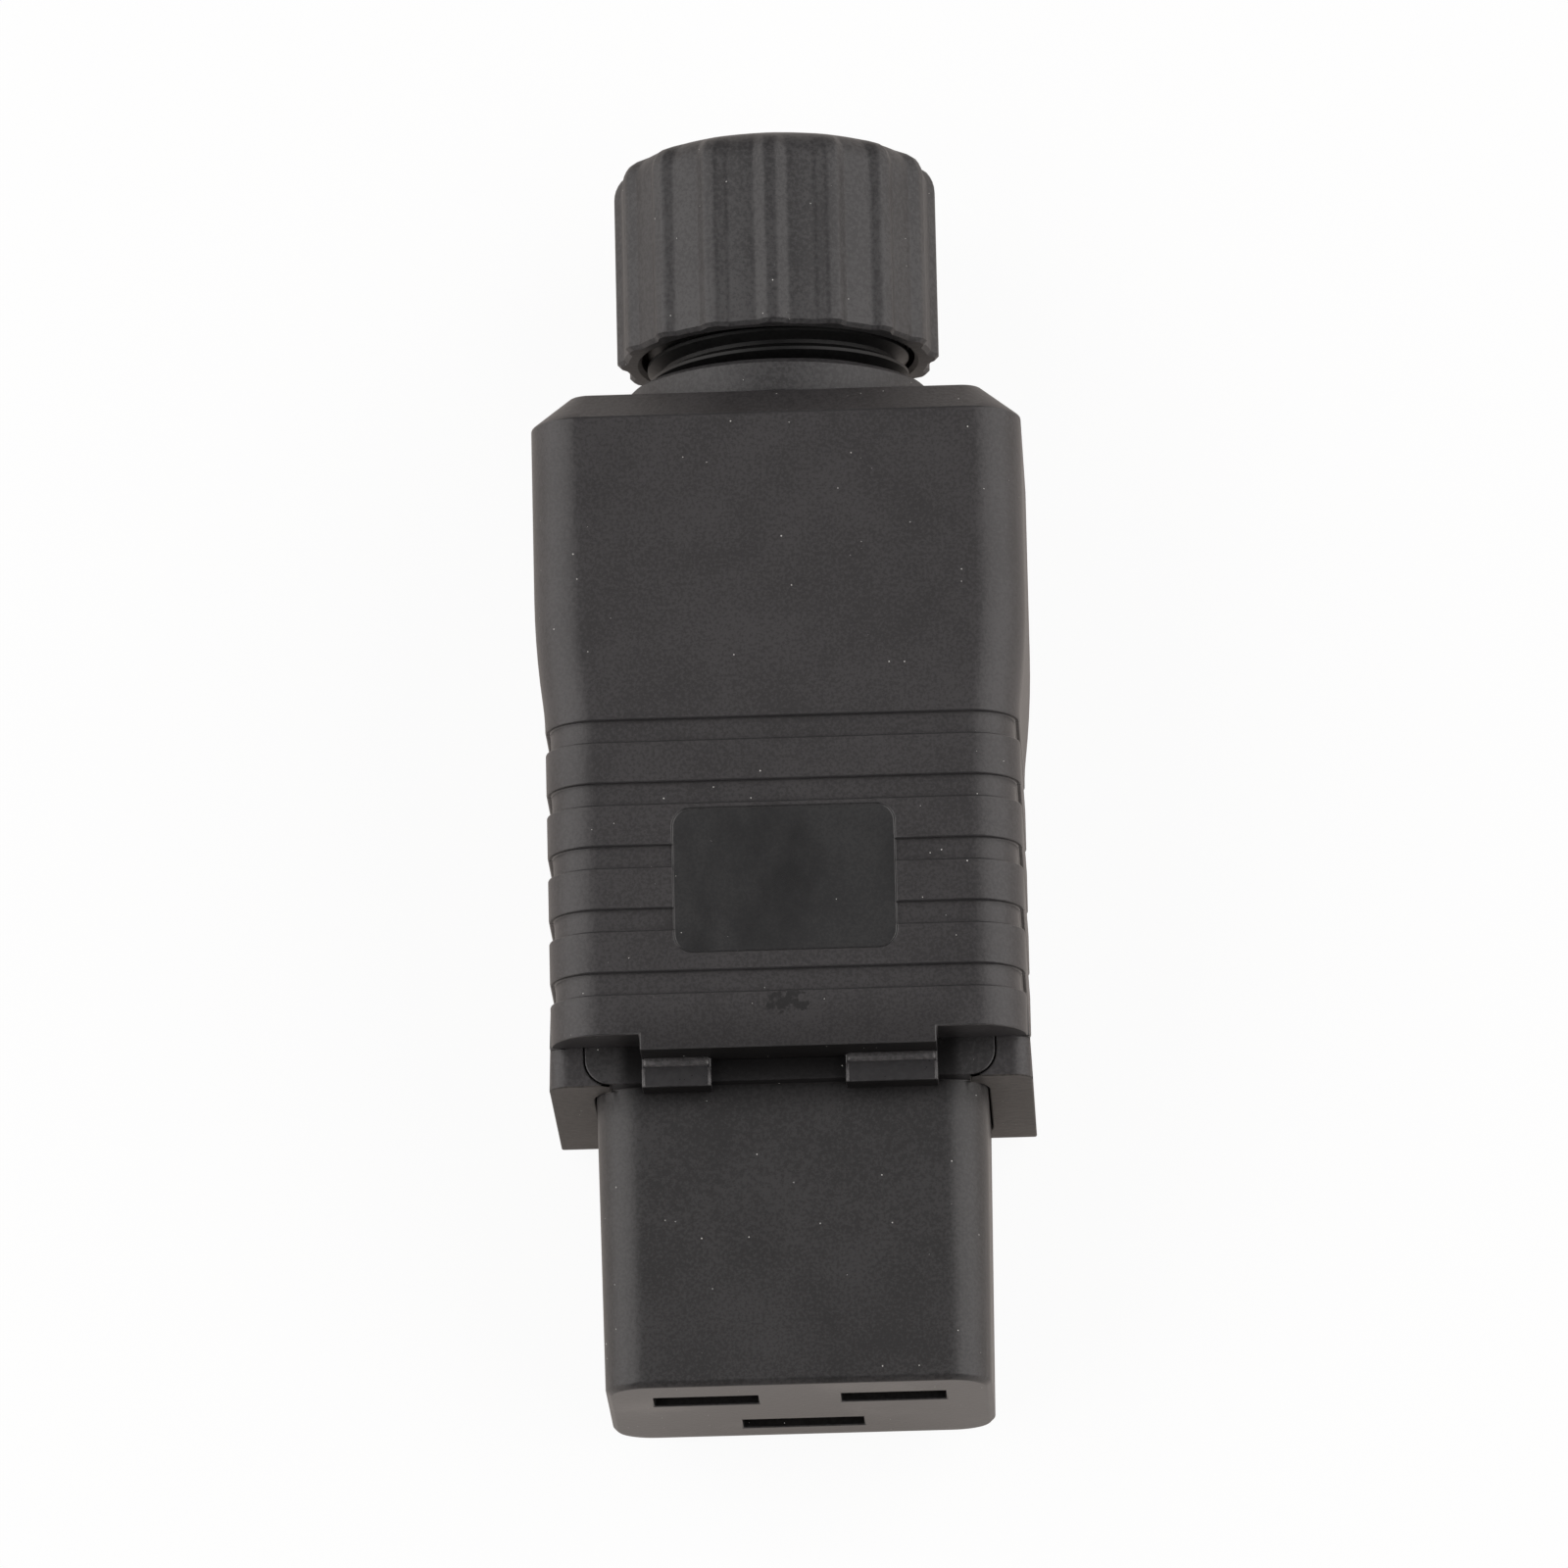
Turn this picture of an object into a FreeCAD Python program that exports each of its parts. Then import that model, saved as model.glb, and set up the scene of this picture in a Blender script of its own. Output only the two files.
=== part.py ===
"""Re-wireable C19 power connector: two-part shell, contact nose, terminals and cord gland.

Frame: millimetres, +Z up through the cover, -Y towards the nose, +Y towards the gland nut,
origin under the middle of the overall length, on the plane that the base rests on.
"""
import FreeCAD, Part
import Sketcher
import math
import os

Vector = FreeCAD.Vector

# ---------------------------------------------------------------- sizes

DRIVING = [
    # nose: the part that enters the inlet
    ("nose_length", 22.8),
    ("nose_height", 20.0),
    ("nose_lift", 2.0),
    ("nose_round", 3.5),
    ("nose_draft", 0.6),
    ("tip_bevel", 0.4),
    ("face_wall", 2.2),
    ("line_slot_width", 7.9),
    ("earth_slot_width", 9.2),
    ("slot_height", 3.2),
    ("line_slot_pitch", 14.1),
    ("line_slot_drop", 6.0),
    ("earth_slot_drop", 14.9),
    # shell
    ("body_length", 53.3),
    ("flange_step", 0.65),
    ("cheek_thick", 2.75),
    ("front_flare", 0.25),
    ("waist_step", 0.65),
    ("parting_rise", 1.2),
    ("cover_height", 4.2),
    ("waist_start", 15.5),
    ("waist_length", 10.4),
    ("waist_concave", 17.6),
    ("corner_long", 2.4),
    ("corner_wide", 3.0),
    ("shell_wall", 2.3),
    ("rear_wall", 2.4),
    ("floor_thick", 1.8),
    ("ceiling_thick", 2.0),
    ("base_round", 2.0),
    ("cheek_round", 1.5),
    ("cover_side_flat", 0.2),
    ("cover_drop", 2.5),
    ("cover_setback", 3.0),
    ("tongue_width", 22.2),
    ("tongue_reach", 1.2),
    # grip grooves and the label plate
    ("groove_count", 5),
    ("groove_pitch", 4.87),
    ("groove_width", 1.7),
    ("groove_depth", 0.42),
    ("groove_start", 3.1),
    ("plate_width", 16.7),
    ("plate_length", 11.1),
    ("plate_start", 6.2),
    ("plate_round", 1.4),
    ("plate_recess", 0.12),
    # hooks at the front of the cover
    ("left_hook_width", 5.2),
    ("right_hook_width", 6.9),
    ("hook_lip", 0.5),
    ("hook_rise", 0.95),
    # contact block behind the nose
    ("flange_thick", 3.5),
    ("flange_round", 1.9),
    ("flange_recess", 0.15),
    ("seat_gap", 0.1),
    ("stop_rib_thick", 1.2),
    ("stop_rib_reach", 1.0),
    ("tray_side_gap", 0.2),
    ("tray_length", 13.6),
    ("tray_low", 3.0),
    ("tray_drop", 3.2),
    ("terminal_offset", 0.55),
    ("well_rib", 0.8),
    ("cavity_width", 8.4),
    ("earth_cavity_width", 9.8),
    ("cavity_height", 6.0),
    # contacts and terminals
    ("contact_thick", 0.8),
    ("fork_width", 6.4),
    ("fork_length", 15.0),
    ("fork_mouth", 3.0),
    ("fork_pinch", 1.5),
    ("fork_root", 3.0),
    ("fork_flare", 2.5),
    ("shank_width", 5.0),
    ("spring_thick", 0.35),
    ("spring_width", 3.0),
    ("cage_side_gap", 0.3),
    ("cage_side_wall", 0.9),
    ("cage_roof", 2.0),
    ("cage_length", 8.0),
    ("cage_height", 7.4),
    ("cage_drop", 0.6),
    ("clamp_thick", 0.9),
    ("clamp_length", 6.0),
    ("terminal_thread", 3.5),
    ("terminal_head", 5.4),
    ("terminal_length", 4.4),
    ("head_height", 2.0),
    ("slot_blade", 0.8),
    ("lid_thick", 1.5),
    ("lid_screw_rib", 1.6),
    ("lid_screw_edge", 1.7),
    ("lid_screw_thread", 2.0),
    ("lid_screw_head", 3.6),
    ("lid_screw_length", 8.0),
    ("lid_head_height", 1.2),
    # cord gland
    ("neck_thread", 20.0),
    ("neck_length", 10.0),
    ("neck_wall", 1.8),
    ("neck_chamfer", 0.6),
    ("collar_width", 23.4),
    ("collar_length", 2.4),
    ("collar_chamfer", 0.4),
    ("throat_step", 0.5),
    ("foot_width", 22.0),
    ("foot_height", 20.6),
    ("foot_thick", 2.6),
    ("foot_lift", 0.6),
    ("foot_round", 3.0),
    ("lip_step", 0.6),
    ("lip_thick", 3.4),
    ("gland_rib_thick", 1.5),
    ("claw_gap", 0.1),
    ("claw_wall", 1.2),
    ("claw_head_step", 0.5),
    ("claw_head_length", 2.35),
    ("claw_cone", 1.3),
    ("claw_slot", 1.2),
    ("claw_fingers", 8),
    ("claw_root", 3.0),
    ("sleeve_bore", 10.0),
    ("sleeve_gap", 0.15),
    # gland nut
    ("nut_gap", 3.0),
    ("nut_length", 15.6),
    ("nut_wall", 1.75),
    ("rib_height", 0.5),
    ("nut_shoulder", 2.4),
    ("nut_rear_wall", 2.2),
    ("nut_hole", 13.0),
    ("nut_clearance", 0.05),
    ("nut_mouth_step", 0.4),
    ("nut_mouth_depth", 1.6),
    ("nut_ribs", 16),
    ("rib_base", 2.4),
    ("rib_top", 0.9),
    ("washer_thick", 1.2),
    ("washer_gap", 0.15),
    ("washer_bore_step", 0.5),
    ("washer_edge_gap", 0.35),
    # screws that hold the cover, driven from below
    ("post_side_gap", 0.35),
    ("post_setback", 13.5),
    ("post_wall", 0.35),
    ("post_top", 13.0),
    ("screw_thread", 2.9),
    ("screw_gap", 0.15),
    ("screw_head", 5.5),
    ("head_gap", 0.2),
    ("screw_sink", 3.0),
    ("screw_head_height", 2.2),
    ("screw_length", 15.0),
    # small gaps, insets and overlaps
    ("contact_gap", 0.05),
    ("clear_cut", 1.0),
    ("chamber_inset_long", 1.0),
    ("chamber_inset_wide", 1.3),
    ("stop_rib_bite", 0.5),
    ("stop_rib_drop", 2.0),
    ("plate_base", 0.2),
    ("hollow_inset", 0.6),
    ("hollow_setback", 1.6),
    ("hook_bite", 0.6),
    ("well_wall", 2.0),
    ("cage_setback", 2.0),
    ("clamp_side_gap", 0.2),
    ("fork_setback", 0.3),
    ("spring_lift", 0.6),
    ("driver_gap", 0.6),
    ("gland_rib_rise", 2.0),
    ("sleeve_setback", 0.3),
    ("sleeve_sink", 0.4),
    ("rib_bite", 0.2),
]

DERIVED = [
    ("overall_length", "nose_length + body_length + collar_length + nut_gap + nut_length"),
    ("tip_y", "-overall_length / 2"),
    ("front_y", "tip_y + nose_length"),
    ("rear_y", "front_y + body_length"),
    ("collar_y", "rear_y + collar_length"),
    ("nut_front_y", "collar_y + nut_gap"),
    ("nut_rear_y", "nut_front_y + nut_length"),
    ("nose_top", "nose_lift + nose_height"),
    ("tub_height", "nose_top + parting_rise"),
    ("top_z", "tub_height + cover_height"),
    # widths, from the blade slots outwards
    ("line_x", "line_slot_pitch / 2"),
    ("terminal_pitch", "line_x + terminal_offset"),
    ("well_width", "terminal_pitch - well_rib"),
    ("well_half", "well_width / 2"),
    ("lid_screw_x", "terminal_pitch + well_half + lid_screw_rib"),
    ("tray_half", "lid_screw_x + lid_screw_edge"),
    ("stop_in", "tray_half + tray_side_gap"),
    ("seat_half", "stop_in + stop_rib_reach"),
    ("flange_half", "seat_half - seat_gap"),
    ("nose_half", "flange_half - flange_step"),
    ("front_half", "flange_half + cheek_thick"),
    ("waist_half", "front_half - front_flare"),
    ("rear_half", "waist_half + waist_step"),
    ("outside", "rear_half + clear_cut"),
    ("corner_y", "rear_y - corner_long"),
    ("corner_half", "rear_half - corner_wide"),
    ("waist_back_y", "rear_y - waist_start"),
    ("waist_front_y", "waist_back_y - waist_length"),
    ("waist_turn", "2 * atan((rear_half - waist_half) / waist_length)"),
    ("waist_convex", "waist_length / sin(waist_turn) - waist_concave"),
    ("waist_join_y", "waist_back_y - waist_convex * sin(waist_turn)"),
    ("waist_join_half", "rear_half - waist_convex * (1 - cos(waist_turn))"),
    ("cover_front_y", "front_y + cover_setback"),
    ("tongue_half", "tongue_width / 2"),
    ("tongue_y", "cover_front_y - tongue_reach"),
    # chamber inside the tub
    ("flange_flat", "flange_half - flange_round"),
    ("block_front_y", "front_y + flange_recess"),
    ("flange_corner_y", "block_front_y + flange_round"),
    ("flange_back_y", "block_front_y + flange_thick"),
    ("flange_low", "floor_thick + seat_gap"),
    ("flange_height", "tub_height - flange_low"),
    ("seat_round", "flange_round + seat_gap"),
    ("seat_front_y", "block_front_y - seat_gap"),
    ("mouth_y", "front_y - clear_cut"),
    ("chamber_half", "rear_half - shell_wall"),
    ("chamber_back_y", "rear_y - rear_wall"),
    ("chamber_depth", "tub_height - floor_thick"),
    ("chamber_corner_y", "corner_y - chamber_inset_long"),
    ("chamber_corner_half", "corner_half - chamber_inset_wide"),
    ("cheek_flat", "front_half - cheek_round"),
    ("cheek_low", "tub_height - cheek_round"),
    ("stop_front_y", "flange_back_y + seat_gap"),
    ("stop_back_y", "stop_front_y + stop_rib_thick"),
    ("stop_out", "seat_half + stop_rib_bite"),
    ("stop_height", "chamber_depth - stop_rib_drop"),
    # grooves
    ("groove_half", "waist_half - groove_depth"),
    ("groove_low_round", "base_round - groove_depth"),
    ("groove_low_flat", "waist_half - base_round"),
    ("groove_front_y", "cover_front_y + groove_start"),
    ("groove_span", "groove_pitch * (groove_count - 1)"),
    ("cover_round", "cover_height - cover_side_flat"),
    ("round_z", "top_z - cover_round"),
    ("rear_flat", "rear_half - cover_round"),
    ("end_round", "cover_round - cover_drop"),
    ("end_flat", "corner_half - end_round"),
    ("end_top_z", "top_z - cover_drop"),
    ("groove_round", "cover_round - groove_depth"),
    ("groove_flat", "waist_half - cover_round"),
    ("groove_top_z", "top_z - groove_depth"),
    ("above_z", "top_z + clear_cut"),
    ("plate_half", "plate_width / 2"),
    ("plate_flat", "plate_half - plate_round"),
    ("plate_front_y", "cover_front_y + plate_start"),
    ("plate_back_y", "plate_front_y + plate_length"),
    ("plate_front_in", "plate_front_y + plate_round"),
    ("plate_back_in", "plate_back_y - plate_round"),
    ("plate_sink", "groove_depth + plate_base"),
    # inside the cover
    ("hollow_half", "seat_half - hollow_inset"),
    ("hollow_front_y", "cover_front_y + hollow_setback"),
    ("hollow_depth", "cover_height - ceiling_thick"),
    ("ceiling_z", "top_z - ceiling_thick"),
    ("left_hook_in", "tongue_half - left_hook_width"),
    ("right_hook_in", "tongue_half - right_hook_width"),
    ("hook_under", "tub_height + contact_gap"),
    ("hook_back_y", "tongue_y + hook_bite"),
    ("hook_inner_y", "block_front_y - contact_gap"),
    ("hook_front_y", "hook_inner_y - hook_lip"),
    ("hook_drop", "hook_under - nose_top - seat_gap"),
    # nose and contacts
    ("nose_flat", "nose_half - nose_round"),
    ("nose_side_low", "nose_lift + nose_round"),
    ("nose_side_top", "nose_top - nose_round"),
    ("nose_reach", "flange_corner_y - tip_y"),
    ("window_half", "nose_half + seat_gap"),
    ("window_low", "nose_lift - seat_gap"),
    ("window_top", "nose_top + seat_gap"),
    ("window_round", "nose_round + seat_gap"),
    ("line_z", "nose_top - line_slot_drop"),
    ("earth_z", "nose_top - earth_slot_drop"),
    ("cavity_front_y", "tip_y + face_wall"),
    ("tray_high", "tub_height - tray_drop"),
    ("tray_back_y", "flange_back_y + tray_length"),
    ("tray_open_y", "tray_back_y + clear_cut"),
    ("well_front_y", "block_front_y + well_wall"),
    ("cage_top", "tray_high - cage_drop"),
    ("cage_floor", "cage_top - cage_height"),
    ("well_floor", "cage_floor - seat_gap"),
    ("cage_width", "well_width - 2 * cage_side_gap"),
    ("earth_well_floor", "earth_z - contact_thick"),
    ("cage_front_y", "well_front_y + cage_setback"),
    ("cage_y", "cage_front_y + cage_length / 2"),
    ("cage_back_y", "cage_front_y + cage_length"),
    ("strap_top", "cage_floor + contact_thick"),
    ("cage_window_top", "cage_top - cage_roof"),
    ("window_x", "cage_width / 2 - cage_side_wall"),
    ("terminal_hole", "terminal_thread + seat_gap"),
    ("terminal_seat", "cage_top + contact_gap"),
    ("clamp_low", "terminal_seat - terminal_length - clamp_thick - contact_gap"),
    ("clamp_half", "window_x - clamp_side_gap"),
    ("line_slot_half", "line_slot_width / 2"),
    ("earth_slot_half", "earth_slot_width / 2"),
    ("slot_rise", "slot_height / 2"),
    ("line_cavity_half", "cavity_width / 2"),
    ("earth_cavity_half", "earth_cavity_width / 2"),
    ("cavity_rise", "cavity_height / 2"),
    ("well_mid_y", "(well_front_y + tray_open_y) / 2"),
    ("well_reach", "(tray_open_y - well_front_y) / 2"),
    ("fork_front_y", "cavity_front_y + fork_setback"),
    ("fork_pinch_y", "fork_front_y + fork_flare"),
    ("fork_back_y", "fork_front_y + fork_length"),
    ("fork_root_y", "fork_back_y - contact_thick"),
    ("mouth_in", "fork_mouth / 2"),
    ("mouth_out", "mouth_in + contact_thick"),
    ("pinch_in", "fork_pinch / 2"),
    ("pinch_out", "pinch_in + contact_thick"),
    ("root_in", "fork_root / 2"),
    ("root_out", "root_in + contact_thick"),
    ("half_sheet", "contact_thick / 2"),
    ("riser_front_y", "well_front_y + 0.2"),
    ("riser_back_y", "riser_front_y + contact_thick"),
    ("spring_half", "fork_width / 2 + contact_gap + spring_thick"),
    ("spring_rise", "pinch_out + spring_lift + spring_thick"),
    ("lid_pilot", "lid_screw_thread + seat_gap"),
    ("lid_hole", "lid_screw_thread + 2 * seat_gap"),
    ("lid_half", "tray_half - seat_gap"),
    ("lid_front_y", "flange_back_y + seat_gap"),
    ("lid_low", "tray_high + contact_gap"),
    ("lid_seat", "lid_low + lid_thick + contact_gap"),
    ("driver_hole", "terminal_head + driver_gap"),
    # gland
    ("neck_height", "floor_thick + foot_lift + foot_height / 2"),
    ("neck_bore", "neck_thread - 2 * neck_wall"),
    ("throat_width", "neck_thread - 2 * throat_step"),
    ("lip_bore", "sleeve_bore + 2 * lip_step"),
    ("slot_half", "throat_width / 2 + seat_gap"),
    ("throat_hole", "throat_width + 2 * seat_gap"),
    ("foot_back_y", "chamber_back_y - seat_gap"),
    ("foot_front_y", "foot_back_y - foot_thick"),
    ("foot_half", "foot_width / 2"),
    ("foot_low", "neck_height - foot_height / 2"),
    ("foot_high", "neck_height + foot_height / 2"),
    ("throat_r", "throat_width / 2"),
    ("collar_r", "collar_width / 2"),
    ("collar_edge_y", "collar_y - collar_chamfer"),
    ("collar_edge_r", "collar_r - collar_chamfer"),
    ("neck_r", "neck_thread / 2"),
    ("rib_back_y", "foot_front_y - seat_gap"),
    ("rib_front_y", "rib_back_y - gland_rib_thick"),
    ("partition_height", "neck_height + gland_rib_rise - floor_thick"),
    ("plug_low", "neck_height + throat_width / 4"),
    ("plug_half", "slot_half - seat_gap"),
    ("neck_slot_length", "nut_front_y - rib_front_y + clear_cut"),
    ("neck_end_y", "collar_y + neck_length"),
    ("neck_edge_y", "neck_end_y - neck_chamfer"),
    ("neck_edge_r", "neck_r - neck_chamfer"),
    ("lip_back_y", "foot_front_y + lip_thick"),
    ("claw_front_y", "lip_back_y + claw_gap"),
    ("claw_seat_y", "neck_end_y + claw_gap"),
    ("claw_end_y", "claw_seat_y + claw_head_length"),
    ("claw_radius", "neck_bore / 2 - claw_gap"),
    ("claw_bore", "claw_radius - claw_wall"),
    ("claw_head", "neck_r - claw_head_step"),
    ("claw_cone_y", "claw_end_y - claw_cone"),
    ("claw_cone_r", "claw_head - claw_cone"),
    ("claw_slot_half", "claw_slot / 2"),
    ("claw_finger_length", "claw_end_y - claw_front_y - claw_root"),
    ("sleeve_radius", "claw_bore - sleeve_gap"),
    ("sleeve_bore_r", "sleeve_bore / 2"),
    ("sleeve_front_y", "claw_front_y + sleeve_setback"),
    ("sleeve_end_y", "claw_end_y - sleeve_sink"),
    # nut
    ("nut_bore", "neck_r + nut_clearance"),
    ("nut_root", "nut_bore + nut_wall"),
    ("nut_radius", "nut_root + rib_height"),
    ("nut_mouth_y", "nut_front_y + nut_mouth_depth"),
    ("nut_mouth_r", "nut_bore + nut_mouth_step"),
    ("nut_hole_r", "nut_hole / 2"),
    ("rib_base_half", "rib_base / 2"),
    ("rib_top_half", "rib_top / 2"),
    ("rib_foot_r", "nut_root - rib_bite"),
    ("nut_cavity_y", "nut_rear_y - nut_rear_wall"),
    ("nut_shoulder_y", "nut_rear_y - nut_shoulder"),
    ("nut_shoulder_r", "nut_radius - nut_shoulder"),
    ("shoulder_mid_y", "nut_shoulder_y + nut_shoulder * sqrt(0.5)"),
    ("shoulder_mid_r", "nut_shoulder_r + nut_shoulder * sqrt(0.5)"),
    ("nut_past_y", "nut_rear_y + clear_cut"),
    ("nut_past_r", "nut_radius + clear_cut"),
    ("washer_back_y", "nut_cavity_y - washer_gap"),
    ("washer_front_y", "washer_back_y - washer_thick"),
    ("washer_bore_r", "nut_hole_r + washer_bore_step"),
    ("washer_r", "nut_bore - washer_edge_gap"),
    # screw posts
    ("screw_recess", "screw_head + 2 * head_gap"),
    ("screw_hole", "screw_thread + 2 * screw_gap"),
    ("post_width", "screw_recess + 2 * post_wall"),
    ("post_x", "chamber_half - post_side_gap - post_width / 2"),
    ("post_y", "rear_y - post_setback"),
    ("boss_drop", "ceiling_z - post_top - seat_gap"),
    ("pilot_hole", "screw_thread + seat_gap"),
]

doc = FreeCAD.newDocument("c19_connector")
sheet = doc.addObject("Spreadsheet::Sheet", "Sizes")
for row, (alias, content) in enumerate(DRIVING + DERIVED, start=1):
    text = content if isinstance(content, str) else str(content)
    sheet.set(f"A{row}", alias)
    sheet.set(f"B{row}", "=" + text if isinstance(content, str) else text)
    sheet.setAlias(f"B{row}", alias)
doc.recompute()


# ---------------------------------------------------------------- helpers


def number(token):
    """Value of a cell, of a cell with a minus sign before it, or of "0"."""
    if token == "0":
        return 0.0
    cell = sheet.get(token.lstrip("-"))
    value = float(getattr(cell, "Value", cell))
    return -value if token.startswith("-") else value


def formula(text):
    """The expression for a token: -name becomes -Sizes.name."""
    return "-Sizes." + text[1:] if text.startswith("-") else "Sizes." + text


def bind(obj, name, text):
    """Ties a property to one cell."""
    obj.setExpression(name, formula(text))


def new_body(label):
    """An empty body with its own origin."""
    body = doc.addObject("PartDesign::Body", label)
    body.Label = label
    return body


def new_sketch(body, name, role, offset="0", rise="0"):
    """A sketch parallel to an origin plane of its own body."""
    plane = [item for item in body.Origin.OriginFeatures if item.Role == role][0]
    sketch = body.newObject("Sketcher::SketchObject", f"{body.Name}_{name}")
    sketch.AttachmentSupport = [(plane, "")]
    sketch.MapMode = "FlatFace"
    if offset != "0":
        bind(sketch, "AttachmentOffset.Base.z", offset)
    if rise != "0":
        bind(sketch, "AttachmentOffset.Base.y", rise)
    return sketch


def fix_point(sketch, geo, pos, x, y):
    """Ties one point of a sketch to two cells."""
    for axis, token, line in (("DistanceX", x, -2), ("DistanceY", y, -1)):
        if token == "0":
            sketch.addConstraint(Sketcher.Constraint("PointOnObject", geo, pos, line))
            continue
        index = sketch.addConstraint(Sketcher.Constraint(axis, -1, 1, geo, pos, number(token)))
        bind(sketch, f"Constraints[{index}]", token)


def arc_between(start, end, radius, turn):
    """Arc of a given radius from start to end, turning left or right."""
    chord = end - start
    height = math.sqrt(max(radius**2 - (chord.Length / 2) ** 2, 0.0))
    side = Vector(-chord.y, chord.x, 0).normalize()
    sign = 1 if turn == "left" else -1
    centre = (start + end) * 0.5 + side * (sign * height)
    first, last = (start, end) if turn == "left" else (end, start)
    angles = [math.atan2(point.y - centre.y, point.x - centre.x) for point in (first, last)]
    if angles[1] < angles[0]:
        angles[1] += 2 * math.pi
    circle = Part.Circle(centre, Vector(0, 0, 1), radius)
    return Part.ArcOfCircle(circle, angles[0], angles[1])


def outline(sketch, points):
    """Closed outline. A point is (x, y), or (x, y, radius, turn) where an arc leaves it."""
    spans = []
    for index, point in enumerate(points):
        following = points[(index + 1) % len(points)]
        start = Vector(number(point[0]), number(point[1]), 0)
        end = Vector(number(following[0]), number(following[1]), 0)
        if len(point) == 2:
            geo = sketch.addGeometry(Part.LineSegment(start, end), False)
            spans.append((geo, 1, 2))
            continue
        arc = arc_between(start, end, number(point[2]), point[3])
        geo = sketch.addGeometry(arc, False)
        spans.append((geo, 1, 2) if point[3] == "left" else (geo, 2, 1))
    for index, span in enumerate(spans):
        following = spans[(index + 1) % len(spans)]
        sketch.addConstraint(
            Sketcher.Constraint("Coincident", span[0], span[2], following[0], following[1])
        )
    for point, span in zip(points, spans):
        fix_point(sketch, span[0], span[1], point[0], point[1])
        if len(point) == 4:
            index = sketch.addConstraint(Sketcher.Constraint("Radius", span[0], number(point[2])))
            bind(sketch, f"Constraints[{index}]", point[2])


def minus(token):
    """The same cell with its sign turned."""
    if token == "0":
        return token
    return token[1:] if token.startswith("-") else "-" + token


def mirrored(right):
    """A right-hand outline, run from front to rear, closed by its mirror image."""
    left = []
    for index in range(len(right) - 1, -1, -1):
        x, y = right[index][:2]
        arc = right[index - 1][2:] if index else ()
        left.append((minus(x), y) + tuple(arc))
    return list(right) + left


def rectangle(sketch, low_x, low_y, high_x, high_y):
    """An upright rectangle between four cells."""
    outline(sketch, [(low_x, low_y), (high_x, low_y), (high_x, high_y), (low_x, high_y)])


def circle(sketch, x, y, diameter):
    """A circle on a cell-bound centre."""
    centre = Vector(number(x), number(y), 0)
    geo = sketch.addGeometry(Part.Circle(centre, Vector(0, 0, 1), number(diameter) / 2), False)
    fix_point(sketch, geo, 3, x, y)
    index = sketch.addConstraint(Sketcher.Constraint("Diameter", geo, number(diameter)))
    bind(sketch, f"Constraints[{index}]", diameter)


def feature(body, kind, name, sketch, length=None, flip=False, taper=None):
    """Pad or Pocket of a sketch; the length is an expression over the cells."""
    result = body.newObject(f"PartDesign::{kind}", f"{body.Name}_{name}")
    result.Profile = sketch
    result.Reversed = flip
    if length is None:
        result.Type = 1
    else:
        result.setExpression("Length", length)
    if taper is not None:
        result.setExpression("TaperAngle", taper)
    return result


def pad(body, name, sketch, length, flip=False, taper=None):
    """Material added from a sketch."""
    return feature(body, "Pad", name, sketch, length, flip, taper)


def pocket(body, name, sketch, length=None, flip=False):
    """Material cut away from a sketch."""
    return feature(body, "Pocket", name, sketch, length, flip)


def blend(body, name, start, end):
    """Straight-sided body between two cross-sections of the same kind."""
    result = body.newObject("PartDesign::AdditiveLoft", f"{body.Name}_{name}")
    result.Profile = start
    result.Sections = [end]
    result.Ruled = True
    return result


def turned(body, kind, name, points):
    """Revolution or Groove about the gland's axis; points are (station along Y, radius)."""
    sketch = new_sketch(body, name, "YZ_Plane", "0", "neck_height")
    outline(sketch, points)
    result = body.newObject(f"PartDesign::{kind}", f"{body.Name}_{name}_turned")
    result.Profile = sketch
    result.ReferenceAxis = (sketch, ["H_Axis"])
    result.Angle = 360
    return result


def edges_where(shape, test):
    """Names of the edges that pass a test."""
    return [f"Edge{place}" for place, edge in enumerate(shape.Edges, start=1) if test(edge)]


def dress(body, kind, name, size, test):
    """Fillet or Chamfer on the edges of the body's tip that pass a test."""
    doc.recompute()
    base = body.Tip
    names = edges_where(base.Shape, test)
    if not names:
        raise ValueError(f"{body.Label} {name}: no edge found")
    result = body.newObject(f"PartDesign::{kind}", f"{body.Name}_{name}")
    result.Base = (base, names)
    result.setExpression("Radius" if kind == "Fillet" else "Size", size)
    return result


def polar(body, name, original, sketch, count):
    """Copies of a feature round the normal of its sketch."""
    result = body.newObject("PartDesign::PolarPattern", f"{body.Name}_{name}")
    result.Originals = [original]
    result.Axis = (sketch, ["N_Axis"])
    result.Angle = 360
    bind(result, "Occurrences", count)
    body.Tip = result
    return result


def along_y(body, name, original, span, count):
    """Copies of a feature in a row along Y."""
    axis = [item for item in body.Origin.OriginFeatures if item.Role == "Y_Axis"][0]
    result = body.newObject("PartDesign::LinearPattern", f"{body.Name}_{name}")
    result.Originals = [original]
    result.Direction = (axis, [""])
    bind(result, "Length", span)
    bind(result, "Occurrences", count)
    body.Tip = result
    return result


def is_near(value, target, margin=0.02):
    return abs(value - target) < margin


def flat_at(edge, axis, level):
    """True where the whole edge lies in a plane across the axis."""
    spots = [vertex.Point for vertex in edge.Vertexes] + [edge.CenterOfMass]
    return all(is_near(getattr(spot, axis.lower()), level) for spot in spots)


# ---------------------------------------------------------------- shells

REAR_SIDE = [
    ("waist_half", "waist_front_y", "waist_concave", "right"),
    ("waist_join_half", "waist_join_y", "waist_convex", "left"),
    ("rear_half", "waist_back_y"),
    ("rear_half", "corner_y"),
    ("corner_half", "rear_y"),
]

CHAMBER_REAR = [
    ("seat_half", "waist_front_y"),
    ("chamber_half", "waist_back_y"),
    ("chamber_half", "chamber_corner_y"),
    ("chamber_corner_half", "chamber_back_y"),
]


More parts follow.
